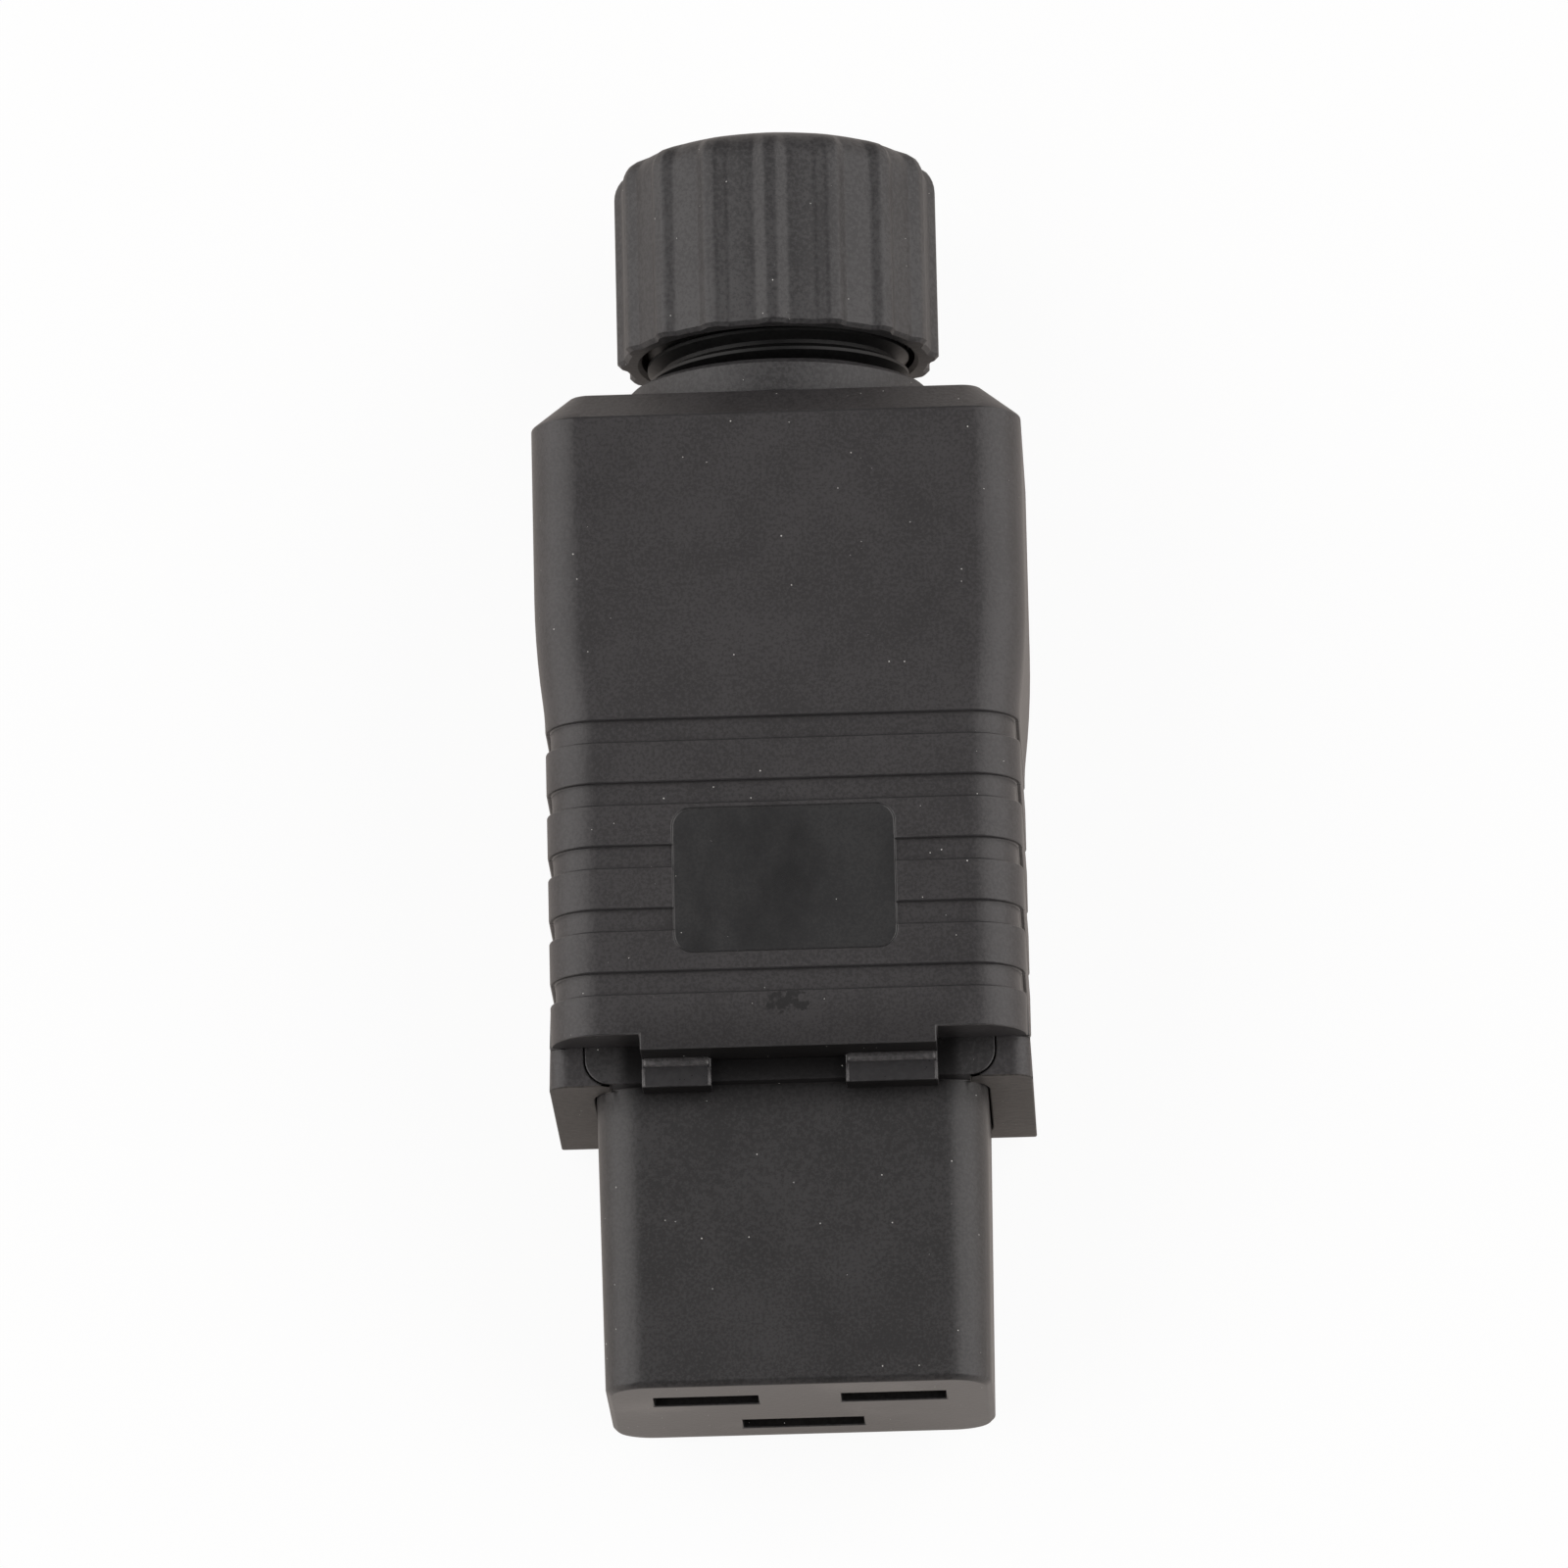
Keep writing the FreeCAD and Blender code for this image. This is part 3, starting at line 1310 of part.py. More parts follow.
os.makedirs("parts", exist_ok=True)
for part in parts:
    shape = part.Shape
    shape.exportStep(f"parts/{part.Label}.step")
    print(f"{part.Label}: {len(shape.Solids)} solid(s), {shape.Volume:.1f} mm3")
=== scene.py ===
# %% [markdown]
# # Dressing a re-wireable power connector
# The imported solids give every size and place. This lesson adds what a maker's
# mould leaves on them: soft edges, a screw thread, a ribbed nut and real finishes.
# Lengths are in metres, +Z goes up through the cover and -Y towards the nose.

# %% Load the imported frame
import math

import bmesh
import bpy
from mathutils import Matrix, Vector
from mathutils.bvhtree import BVHTree


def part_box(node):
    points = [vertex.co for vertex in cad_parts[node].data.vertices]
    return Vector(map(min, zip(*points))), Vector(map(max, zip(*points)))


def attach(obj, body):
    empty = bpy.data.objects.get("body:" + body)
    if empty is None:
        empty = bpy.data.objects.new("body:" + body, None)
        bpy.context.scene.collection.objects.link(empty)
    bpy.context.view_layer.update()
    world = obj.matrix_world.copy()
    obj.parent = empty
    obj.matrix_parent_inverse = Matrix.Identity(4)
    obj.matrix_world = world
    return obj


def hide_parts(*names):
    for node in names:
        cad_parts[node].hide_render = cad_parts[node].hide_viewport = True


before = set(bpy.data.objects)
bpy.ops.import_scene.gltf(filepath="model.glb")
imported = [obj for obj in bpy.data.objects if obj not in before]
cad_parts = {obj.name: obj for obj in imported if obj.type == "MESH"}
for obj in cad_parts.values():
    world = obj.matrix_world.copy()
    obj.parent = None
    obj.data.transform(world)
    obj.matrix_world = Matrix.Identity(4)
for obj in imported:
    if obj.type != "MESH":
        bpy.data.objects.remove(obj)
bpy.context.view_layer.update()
MM = 0.001
HAIR = 0.001 * MM
WELD = 0.002 * MM
print("nodes:", len(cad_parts))

# %% [markdown]
# ## Stations
# A station is a place along the connector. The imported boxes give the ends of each
# piece, so nothing here has to be typed twice or can drift from the solids. The two
# hooks reach past the front edge of the cover, so its box starts at their tips.

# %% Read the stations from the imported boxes
nut_low, nut_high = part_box("gland_nut")
neck_low, neck_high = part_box("gland_body")
cover_low, cover_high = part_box("upper_shell")
tub_low, tub_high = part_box("lower_shell")
nose_low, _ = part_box("contact_block")
axis_height = (nut_low.z + nut_high.z) / 2
nut_radius = (nut_high.x - nut_low.x) / 2
HOOK_LENGTH = 2.2 * MM
cover_edge = cover_low.y + HOOK_LENGTH
print(f"gland axis {axis_height / MM:.2f} mm up, nut radius {nut_radius / MM:.2f} mm")
print(f"front edge of the cover at {cover_edge / MM:.2f} mm")

# %% [markdown]
# ## Small helpers for node trees
# Every tree below is built from the same steps: add a node with its settings, and
# join numbers or sockets to its inputs. Writing them once keeps the cells short.


# %% Helpers for node trees
def add_node(tree, kind, **settings):
    node = tree.nodes.new(kind)
    for key, value in settings.items():
        setattr(node, key, value)
    return node


def feed(tree, socket, value):
    if isinstance(value, bpy.types.NodeSocket):
        tree.links.new(value, socket)
    elif value is not None:
        socket.default_value = value


def maths(tree, operation, *values):
    node = add_node(tree, "ShaderNodeMath", operation=operation)
    for socket, value in zip(node.inputs, values):
        feed(tree, socket, value)
    return node.outputs[0]


def ramped(tree, value, low, high, curve="SMOOTHSTEP"):
    """From 0 at low to 1 at high. Low may be the larger of the two."""
    node = add_node(tree, "ShaderNodeMapRange", interpolation_type=curve, clamp=True)
    feed(tree, node.inputs["Value"], value)
    feed(tree, node.inputs["From Min"], low)
    feed(tree, node.inputs["From Max"], high)
    return node.outputs[0]


# %% [markdown]
# ## Softened copies of the moulded shells
# Real mouldings have no knife edges: the tool leaves a radius of a tenth of a
# millimetre or two, and that radius is what catches the light. The solids have sharp
# edges, so each shell is copied, its loose triangles are merged into clean faces, and
# a narrow bevel is cut. Where edges crowd together a bevel can throw a corner out, so
# corners that left the solid are put back on it. Weighted normals then keep the large
# faces truly flat.


# %% Copy a solid and merge its triangles
FLAT_ANGLE = math.radians(0.3)


def clean_copy(node, name):
    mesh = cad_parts[node].data.copy()
    work = bmesh.new()
    work.from_mesh(mesh)
    bmesh.ops.remove_doubles(work, verts=work.verts, dist=WELD)
    bmesh.ops.dissolve_limit(work, angle_limit=FLAT_ANGLE, verts=work.verts, edges=work.edges)
    work.to_mesh(mesh)
    work.free()
    mesh.materials.clear()
    piece = bpy.data.objects.new(name, mesh)
    bpy.context.scene.collection.objects.link(piece)
    return piece


def frozen(piece):
    """Turns the piece's modifiers into plain mesh."""
    bpy.context.view_layer.update()
    graph = bpy.context.evaluated_depsgraph_get()
    mesh = bpy.data.meshes.new_from_object(piece.evaluated_get(graph), depsgraph=graph)
    piece.modifiers.clear()
    piece.data = mesh
    mesh.name = piece.name


def smooth_but_for(mesh, sharp_angle):
    """Smooth shading, apart from edges that are sharper than the angle."""
    for polygon in mesh.polygons:
        polygon.use_smooth = True
    mesh.set_sharp_from_angle(angle=sharp_angle)


# %% Soften the edges of a copy
BEVEL_ANGLE = math.radians(32)
BEVEL_STEPS = 2
HELD_SHARE = 0.6


def held_to(solid, piece, reach):
    """Puts back any corner that the bevel moved further off the solid than reach."""
    held = 0
    for vertex in piece.data.vertices:
        spot, _, _, gap = solid.find_nearest(vertex.co)
        if gap > reach:
            vertex.co = spot
            held += 1
    return held


def softened(node, name, width, edge_slot):
    piece = clean_copy(node, name)
    bpy.context.view_layer.update()
    solid = BVHTree.FromObject(piece, bpy.context.evaluated_depsgraph_get())
    smooth_but_for(piece.data, BEVEL_ANGLE)
    for slot in range(edge_slot + 1):
        piece.data.materials.append(None)
    bevel = piece.modifiers.new("soft_edges", "BEVEL")
    bevel.width = width
    bevel.segments = BEVEL_STEPS
    bevel.limit_method = "ANGLE"
    bevel.angle_limit = BEVEL_ANGLE
    bevel.use_clamp_overlap = False
    bevel.material = edge_slot
    frozen(piece)
    held = held_to(solid, piece, HELD_SHARE * width)
    normals = piece.modifiers.new("flat_faces", "WEIGHTED_NORMAL")
    normals.keep_sharp = True
    frozen(piece)
    print(f"{name}: {len(piece.data.polygons)} faces after the bevel, {held} corners held")
    return piece


# %% [markdown]
# ## The three mouldings
# The cover, the tub and the block that ends in the nose are softened the same way,
# by a width a little less than the narrowest strip between two of their edges. The
# bevel gets a slot of its own, because edges are rubbed first, and on the cover and
# the tub its lighter finish also paints a highlight along them.

# %% Make the three softened mouldings
EDGE_SLOT = 1
SOFT_WIDTH = 0.1 * MM
cover = softened("upper_shell", "cover_moulding", SOFT_WIDTH, EDGE_SLOT)
tub = softened("lower_shell", "tub_moulding", SOFT_WIDTH, EDGE_SLOT)
block = softened("contact_block", "nose_moulding", SOFT_WIDTH, EDGE_SLOT)

# %% [markdown]
# ## A lathe made of nodes
# The gland nut and the threaded neck are both turned about one axis, but each follows
# a rule that a plain spin can't: the nut swells at every rib, and the thread climbs
# as it goes round. Geometry Nodes lays a flat grid, reads a section drawn as a mesh,
# and moves every point of the grid to its place by formula. The Finish input stays
# empty here, because the finishes come later and a piece takes two of them.

# %% Name the inputs of the lathe
LATHE_INPUTS = [
    ("Columns", "NodeSocketInt", 96),
    ("Axis Height", "NodeSocketFloat", 0.0),
    ("Rib Count", "NodeSocketInt", 16),
    ("Rib Height", "NodeSocketFloat", 0.0),
    ("Rib Foot Angle", "NodeSocketFloat", 0.1),
    ("Rib Top Angle", "NodeSocketFloat", 0.04),
    ("Rear Station", "NodeSocketFloat", 1.0),
    ("Shoulder Radius", "NodeSocketFloat", 0.001),
    ("Outer Radius", "NodeSocketFloat", 1.0),
    ("Pitch", "NodeSocketFloat", 0.0),
    ("Thread Start", "NodeSocketFloat", 0.0),
    ("Thread End", "NodeSocketFloat", 1.0),
    ("Thread Root", "NodeSocketFloat", 1.0),
    ("Thread Bevel", "NodeSocketFloat", 0.0),
    ("Finish", "NodeSocketMaterial", None),
]
print("lathe inputs:", ", ".join(name for name, kind, value in LATHE_INPUTS))


# %% Sample one row of the drawn section
def row_value(tree, section, row, name=None):
    """Value of a named share at a row, or the row's place where no name is given."""
    if name:
        kind = "FLOAT"
        source = add_node(tree, "GeometryNodeInputNamedAttribute", data_type=kind)
        source.inputs["Name"].default_value = name
    else:
        kind = "FLOAT_VECTOR"
        source = add_node(tree, "GeometryNodeInputPosition")
    sample = add_node(tree, "GeometryNodeSampleIndex", data_type=kind, domain="POINT")
    feed(tree, sample.inputs["Geometry"], section)
    feed(tree, sample.inputs["Value"], source.outputs[0])
    feed(tree, sample.inputs["Index"], row)
    return sample.outputs[0]


# %% Ribs: how far the surface swells at an angle
FADE_SHARE = 0.35


def rib_swell(tree, given, angle):
    """Half a rib's spacing is added first, so that a rib stands straight up."""
    turn = maths(tree, "DIVIDE", angle, math.tau)
    phase = maths(tree, "ADD", maths(tree, "MULTIPLY", turn, given["Rib Count"]), 0.5)
    offset = maths(tree, "ABSOLUTE", maths(tree, "SUBTRACT", maths(tree, "FRACT", phase), 0.5))
    away = maths(tree, "DIVIDE", maths(tree, "MULTIPLY", offset, math.tau), given["Rib Count"])
    flank = ramped(tree, away, given["Rib Foot Angle"], given["Rib Top Angle"], "LINEAR")
    return maths(tree, "MULTIPLY", flank, given["Rib Height"])


def shoulder_limit(tree, given, station):
    """Radius that the rounded rear shoulder allows at a station."""
    start = maths(tree, "SUBTRACT", given["Rear Station"], given["Shoulder Radius"])
    past = maths(tree, "MAXIMUM", maths(tree, "SUBTRACT", station, start), 0.0)
    full = maths(tree, "POWER", given["Shoulder Radius"], 2.0)
    square = maths(tree, "SUBTRACT", full, maths(tree, "POWER", past, 2.0))
    height = maths(tree, "SQRT", maths(tree, "MAXIMUM", square, 0.0))
    centre = maths(tree, "SUBTRACT", given["Outer Radius"], given["Shoulder Radius"])
    return maths(tree, "ADD", centre, height)


def rib_end(tree, given, station):
    """Full height along the barrel, fading to nothing at the end of the shoulder."""
    reach = maths(tree, "MULTIPLY", given["Shoulder Radius"], FADE_SHARE)
    fade_start = maths(tree, "SUBTRACT", given["Rear Station"], reach)
    return ramped(tree, station, given["Rear Station"], fade_start)


# %% Thread: how a row climbs, and where it stops
def mixed(tree, share, plain, changed):
    """Plain where the share is 0, changed where it is 1."""
    difference = maths(tree, "SUBTRACT", changed, plain)
    return maths(tree, "ADD", plain, maths(tree, "MULTIPLY", difference, share))


def climbed(tree, given, station, share, angle):
    """One pitch further on per turn, but never past the ends of the thread."""
    rise = maths(tree, "MULTIPLY", given["Pitch"], maths(tree, "DIVIDE", angle, math.tau))
    raised = maths(tree, "ADD", station, maths(tree, "MULTIPLY", rise, share))
    low = maths(tree, "MAXIMUM", raised, given["Thread Start"])
    held = maths(tree, "MINIMUM", low, given["Thread End"])
    return mixed(tree, share, station, held)


def thread_radius(tree, given, radius, station, share):
    """Root radius past the ends of the thread, and a bevel at its far end."""
    after = maths(tree, "ADD", given["Thread Start"], HAIR)
    before = maths(tree, "SUBTRACT", given["Thread End"], HAIR)
    started = maths(tree, "GREATER_THAN", station, after)
    unfinished = maths(tree, "LESS_THAN", station, before)
    inside = maths(tree, "MULTIPLY", started, unfinished)
    cut = mixed(tree, inside, given["Thread Root"], radius)
    bevel_start = maths(tree, "SUBTRACT", given["Thread End"], given["Thread Bevel"])
    past = maths(tree, "MAXIMUM", maths(tree, "SUBTRACT", station, bevel_start), 0.0)
    top = maths(tree, "SUBTRACT", given["Outer Radius"], past)
    return mixed(tree, share, radius, maths(tree, "MINIMUM", cut, top))


# %% The lathe's sockets and its flat grid
def lathe_sockets():
    tree = bpy.data.node_groups.new("lathe", "GeometryNodeTree")
    sockets = tree.interface
    sockets.new_socket("Section", in_out="INPUT", socket_type="NodeSocketGeometry")
    for name, kind, value in LATHE_INPUTS:
        socket = sockets.new_socket(name, in_out="INPUT", socket_type=kind)
        if value is not None:
            socket.default_value = value
    sockets.new_socket("Turned", in_out="OUTPUT", socket_type="NodeSocketGeometry")
    return tree, add_node(tree, "NodeGroupInput").outputs


def flat_grid(tree, given):
    """One more row and column than are needed, so that the skin closes on itself."""
    size = add_node(tree, "GeometryNodeAttributeDomainSize", component="MESH")
    feed(tree, size.inputs[0], given["Section"])
    rows = size.outputs["Point Count"]
    row_span = maths(tree, "ADD", rows, 1.0)
    grid = add_node(tree, "GeometryNodeMeshGrid")
    feed(tree, grid.inputs["Vertices X"], maths(tree, "ADD", given["Columns"], 1.0))
    feed(tree, grid.inputs["Vertices Y"], row_span)
    index = add_node(tree, "GeometryNodeInputIndex").outputs[0]
    column = maths(tree, "FLOOR", maths(tree, "DIVIDE", maths(tree, "ADD", index, 0.5), row_span))
    line = maths(tree, "SUBTRACT", index, maths(tree, "MULTIPLY", column, row_span))
    row = maths(tree, "MODULO", maths(tree, "ROUND", line), rows)
    share_of_turn = maths(tree, "DIVIDE", column, given["Columns"])
    return grid.outputs["Mesh"], row, maths(tree, "MULTIPLY", share_of_turn, math.tau)


# %% The station and the radius of every point
def turned_place(tree, given, row, angle):
    section = given["Section"]
    split = add_node(tree, "ShaderNodeSeparateXYZ")
    feed(tree, split.inputs[0], row_value(tree, section, row))
    drawn_station = split.outputs["Y"]
    drawn_radius = split.outputs["Z"]
    rib_share = row_value(tree, section, row, "rib_share")
    thread_share = row_value(tree, section, row, "thread_share")
    swell = maths(tree, "MULTIPLY", rib_swell(tree, given, angle), rib_share)
    limit = shoulder_limit(tree, given, drawn_station)
    foot = maths(tree, "SUBTRACT", limit, given["Rib Height"])
    rounded = maths(tree, "MINIMUM", drawn_radius, foot)
    barrel = mixed(tree, rib_share, drawn_radius, rounded)
    faded = maths(tree, "MULTIPLY", swell, rib_end(tree, given, drawn_station))
    ribbed = maths(tree, "ADD", barrel, faded)
    station = climbed(tree, given, drawn_station, thread_share, angle)
    radius = thread_radius(tree, given, ribbed, station, thread_share)
    place = add_node(tree, "ShaderNodeCombineXYZ")
    feed(tree, place.inputs["X"], maths(tree, "MULTIPLY", radius, maths(tree, "SINE", angle)))
    feed(tree, place.inputs["Y"], station)
    upward = maths(tree, "MULTIPLY", radius, maths(tree, "COSINE", angle))
    feed(tree, place.inputs["Z"], maths(tree, "ADD", upward, given["Axis Height"]))
    return place.outputs[0]


# %% Build the lathe's tree
def lathe_tree():
    tree, given = lathe_sockets()
    grid, row, angle = flat_grid(tree, given)
    moved = add_node(tree, "GeometryNodeSetPosition")
    feed(tree, moved.inputs["Geometry"], grid)
    feed(tree, moved.inputs["Position"], turned_place(tree, given, row, angle))
    joined = add_node(tree, "GeometryNodeMergeByDistance")
    feed(tree, joined.inputs["Geometry"], moved.outputs[0])
    joined.inputs["Distance"].default_value = WELD
    real = add_node(tree, "GeometryNodeRealizeInstances")
    feed(tree, real.inputs[0], joined.outputs[0])
    finish = add_node(tree, "GeometryNodeSetMaterial")
    feed(tree, finish.inputs["Geometry"], real.outputs[0])
    feed(tree, finish.inputs["Material"], given["Finish"])
    feed(tree, add_node(tree, "NodeGroupOutput").inputs[0], finish.outputs[0])
    return tree


LATHE = lathe_tree()
print("lathe nodes:", len(LATHE.nodes))


# %% [markdown]
# ## Drawing a section and turning it
# A section is a ring of points, each with its station, its radius and two shares that
# say how much of the rib rule and of the thread rule it follows. The result is
# turned into a plain mesh and checked for closed, outward faces.


# %% Turn a section into a closed piece
def turned_piece(name, section, sharp_angle, **sizes):
    mesh = bpy.data.meshes.new(name)
    points = [(0.0, station * MM, radius * MM) for station, radius, _, _ in section]
    count = len(points)
    mesh.from_pydata(points, [(i, (i + 1) % count) for i in range(count)], [])
    for place, label in ((2, "rib_share"), (3, "thread_share")):
        shares = mesh.attributes.new(label, "FLOAT", "POINT")
        shares.data.foreach_set("value", [float(point[place]) for point in section])
    piece = bpy.data.objects.new(name, mesh)
    bpy.context.scene.collection.objects.link(piece)
    lathe = piece.modifiers.new("lathe", "NODES")
    lathe.node_group = LATHE
    known = {item.name: item.identifier for item in LATHE.interface.items_tree}
    for label, value in sizes.items():
        lathe[known[label.replace("_", " ").title()]] = value
    frozen(piece)
    outward(piece, sharp_angle)
    return piece


def outward(piece, sharp_angle):
    """Closes the mesh, points its faces outwards and marks its sharp edges."""
    work = bmesh.new()
    work.from_mesh(piece.data)
    bmesh.ops.remove_doubles(work, verts=work.verts, dist=WELD)
    bmesh.ops.dissolve_degenerate(work, dist=HAIR, edges=work.edges)
    bmesh.ops.recalc_face_normals(work, faces=work.faces)
    if work.calc_volume(signed=True) < 0:
        bmesh.ops.reverse_faces(work, faces=work.faces)
    open_edges = sum(1 for edge in work.edges if len(edge.link_faces) != 2)
    volume = work.calc_volume(signed=True) / MM**3
    work.to_mesh(piece.data)
    work.free()
    smooth_but_for(piece.data, sharp_angle)
    faces = len(piece.data.polygons)
    print(f"{piece.name}: {faces} faces, {open_edges} open edges, {volume:.0f} mm3")


# %% [markdown]
# ## The gland nut
# On the real connector the nut is a moulded cap with ribs for the fingers. Each rib
# has sloping flanks and a narrow flat top, and the rear shoulder is round, so the
# ribs die away into it. Sixteen copies could be stuck on, but one rule for the radius
# gives a single closed skin in which ribs, barrel and shoulder flow into each other.

# %% Draw the nut's section, in millimetres
NUT_ROOT = 11.8
NUT_BORE = 10.05
NUT_MOUTH = 10.45
MOUTH_DEPTH = 1.6
NUT_HOLE = 6.5
REAR_WALL = 2.2
SHOULDER = 2.4
RIM_BEVEL = 0.3
SHOULDER_STEPS = 9
nut_front = nut_low.y / MM
nut_rear = nut_high.y / MM
nut_crown = nut_radius / MM

nut_section = [
    (nut_front, NUT_MOUTH + RIM_BEVEL, 0, 0),
    (nut_front, NUT_ROOT - RIM_BEVEL, 1, 0),
    (nut_front + RIM_BEVEL, NUT_ROOT, 1, 0),
    (nut_rear - SHOULDER, NUT_ROOT, 1, 0),
]
for step in range(1, SHOULDER_STEPS + 1):
    bend = math.radians(90) * step / SHOULDER_STEPS
    nut_section.append((nut_rear - SHOULDER + SHOULDER * math.sin(bend), NUT_ROOT, 1, 0))
nut_section += [
    (nut_rear, NUT_HOLE + RIM_BEVEL, 0, 0),
    (nut_rear - RIM_BEVEL, NUT_HOLE, 0, 0),
    (nut_rear - REAR_WALL, NUT_HOLE, 0, 0),
    (nut_rear - REAR_WALL, NUT_BORE, 0, 0),
    (nut_front + MOUTH_DEPTH, NUT_BORE, 0, 0),
    (nut_front + MOUTH_DEPTH, NUT_MOUTH, 0, 0),
    (nut_front + RIM_BEVEL, NUT_MOUTH, 0, 0),
]
print("points in the nut's section:", len(nut_section))

# %% Turn the nut
RIBS = 16
COLUMNS_PER_RIB = 28
RIB_FOOT_ANGLE = math.radians(5.9)
RIB_TOP_ANGLE = math.radians(2.1)
NUT_SHARP_ANGLE = math.radians(28)
nut = turned_piece(
    "ribbed_nut",
    nut_section,
    NUT_SHARP_ANGLE,
    columns=RIBS * COLUMNS_PER_RIB,
    axis_height=axis_height,
    rib_count=RIBS,
    rib_height=(nut_crown - NUT_ROOT) * MM,
    rib_foot_angle=RIB_FOOT_ANGLE,
    rib_top_angle=RIB_TOP_ANGLE,
    rear_station=nut_rear * MM,
    shoulder_radius=SHOULDER * MM,
    outer_radius=nut_crown * MM,
)

# %% [markdown]
# ## The threaded neck
# The neck carries a 20 mm thread of 1.5 mm pitch, right-handed, as cable glands do.
# A thread can be faked with rings, but rings don't climb and it shows at the mouth of
# the nut. Here each row of the section rises by one pitch per turn, so the last
# column meets the first one a thread further on and the helix closes by itself.

# %% Draw the neck's section, in millimetres
PITCH = 1.5
THREAD_TOP = 10.0
THREAD_ROOT = 9.12
THROAT = 9.5
NECK_BORE = 8.2
LIP_BORE = 5.6
LIP = 3.4
COLLAR_LENGTH = 2.75
COLLAR_BEVEL = 0.4
COLLAR_SOFT = 0.15
COLLAR_ROUND = 0.1
THREAD_RELIEF = 0.25
THREAD_PROFILE = ((0.0, THREAD_ROOT), (0.2, THREAD_ROOT), (0.52, THREAD_TOP), (0.68, THREAD_TOP))
foot_front = neck_low.y / MM
neck_end = neck_high.y / MM
shell_rear = tub_high.y / MM
collar = shell_rear + COLLAR_LENGTH
collar_radius = (neck_high.x - neck_low.x) / 2 / MM
thread_start = collar + THREAD_RELIEF

thread_rows = []
turns = math.ceil((neck_end - thread_start) / PITCH) + 2
for turn in range(turns):
    base = thread_start + (turn - 1) * PITCH
    for share, radius in THREAD_PROFILE:
        thread_rows.append((base + share * PITCH, radius, 0, 1))
neck_section = [
    (foot_front, LIP_BORE, 0, 0),
    (foot_front, THROAT, 0, 0),
    (shell_rear, THROAT, 0, 0),
    (shell_rear, collar_radius - COLLAR_SOFT, 0, 0),
    (shell_rear + COLLAR_SOFT, collar_radius, 0, 0),
    (collar - COLLAR_BEVEL, collar_radius, 0, 0),
    (collar - COLLAR_ROUND, collar_radius - COLLAR_BEVEL + COLLAR_ROUND, 0, 0),
    (collar, collar_radius - COLLAR_BEVEL - COLLAR_ROUND, 0, 0),
    (collar, THREAD_ROOT, 0, 0),
]
neck_section += thread_rows
neck_section += [
    (neck_end, NECK_BORE, 0, 0),
    (foot_front + LIP, NECK_BORE, 0, 0),
    (foot_front + LIP, LIP_BORE, 0, 0),
]
print("points in the neck's section:", len(neck_section), "for", turns, "turns")

# %% Turn the neck
NECK_COLUMNS = 120
END_BEVEL = 0.6
NECK_SHARP_ANGLE = math.radians(25)
neck = turned_piece(
    "threaded_neck",
    neck_section,
    NECK_SHARP_ANGLE,
    columns=NECK_COLUMNS,
    axis_height=axis_height,
    outer_radius=THREAD_TOP * MM,
    pitch=PITCH * MM,
    thread_start=thread_start * MM,
    thread_end=neck_end * MM,
    thread_root=THREAD_ROOT * MM,
    thread_bevel=END_BEVEL * MM,
)

# %% [markdown]
# ## The foot of the neck
# Inside the shell the neck ends in a square foot with round corners, which drops
# between two walls and can't turn. It is a plain plate, so the same outline at two
# stations, joined all round, is all it needs.


# %% Add the foot plate to the neck
def rounded_corners(half_width, half_height, corner, steps):
    """Points of a rectangle with round corners, once round its middle."""
    points = []
    centres = ((1, 1, 0), (-1, 1, 90), (-1, -1, 180), (1, -1, 270))
    for side_x, side_z, start in centres:
        for step in range(steps + 1):
            turn = math.radians(start + 90 * step / steps)
            x = side_x * (half_width - corner) + corner * math.cos(turn)
            z = side_z * (half_height - corner) + corner * math.sin(turn)
            points.append((x, z))
    return points


FOOT_THICK = 2.6
FOOT_HALF = (11.0, 10.3)
FOOT_CORNER = 3.0
CORNER_STEPS = 6
work = bmesh.new()
work.from_mesh(neck.data)
outline = rounded_corners(*FOOT_HALF, FOOT_CORNER, CORNER_STEPS)
near, far = (
    [work.verts.new((x * MM, station * MM, axis_height + z * MM)) for x, z in outline]
    for station in (foot_front, foot_front + FOOT_THICK)
)
work.faces.new(near)
work.faces.new(far)
for i in range(len(outline)):
    after = (i + 1) % len(outline)
    work.faces.new((near[i], near[after], far[after], far[i]))
bmesh.ops.recalc_face_normals(work, faces=work.faces)
work.to_mesh(neck.data)
work.free()
neck.data.set_sharp_from_angle(angle=NECK_SHARP_ANGLE)
print("neck with foot:", len(neck.data.polygons), "faces")

# %% [markdown]
# ## Grain, smudges and dust as groups
# The shells, the nose and the gland are all moulded nylon, with the same three
# effects in different amounts: the fine grain of a spark-eroded mould, the darker,
# shinier patches that handling leaves, and a few pale specks of dust. Two more have
# one place each: the torn scar where the mould was filled, and a painted shade under
# the front edge of the cover, where its step casts shade. Each effect is one shader
# group, so every finish below can use it with its own values.


# %% Helpers for shader groups
def shader_group(name, inputs, outputs):
    tree = bpy.data.node_groups.new(name, "ShaderNodeTree")
    for label, value in inputs:
        socket = tree.interface.new_socket(label, in_out="INPUT", socket_type="NodeSocketFloat")
        socket.default_value = value
    for label in outputs:
        tree.interface.new_socket(label, in_out="OUTPUT", socket_type="NodeSocketFloat")
    given = add_node(tree, "NodeGroupInput").outputs
    result = add_node(tree, "NodeGroupOutput").inputs
    return tree, given, result


def object_place(tree):
    return add_node(tree, "ShaderNodeTexCoord").outputs["Object"]


def noise(tree, place, scale, detail, roughness=0.5):
    node = add_node(tree, "ShaderNodeTexNoise")
    feed(tree, node.inputs["Vector"], place)
    feed(tree, node.inputs["Scale"], scale)
    feed(tree, node.inputs["Detail"], detail)
    feed(tree, node.inputs["Roughness"], roughness)
    return node.outputs[0]


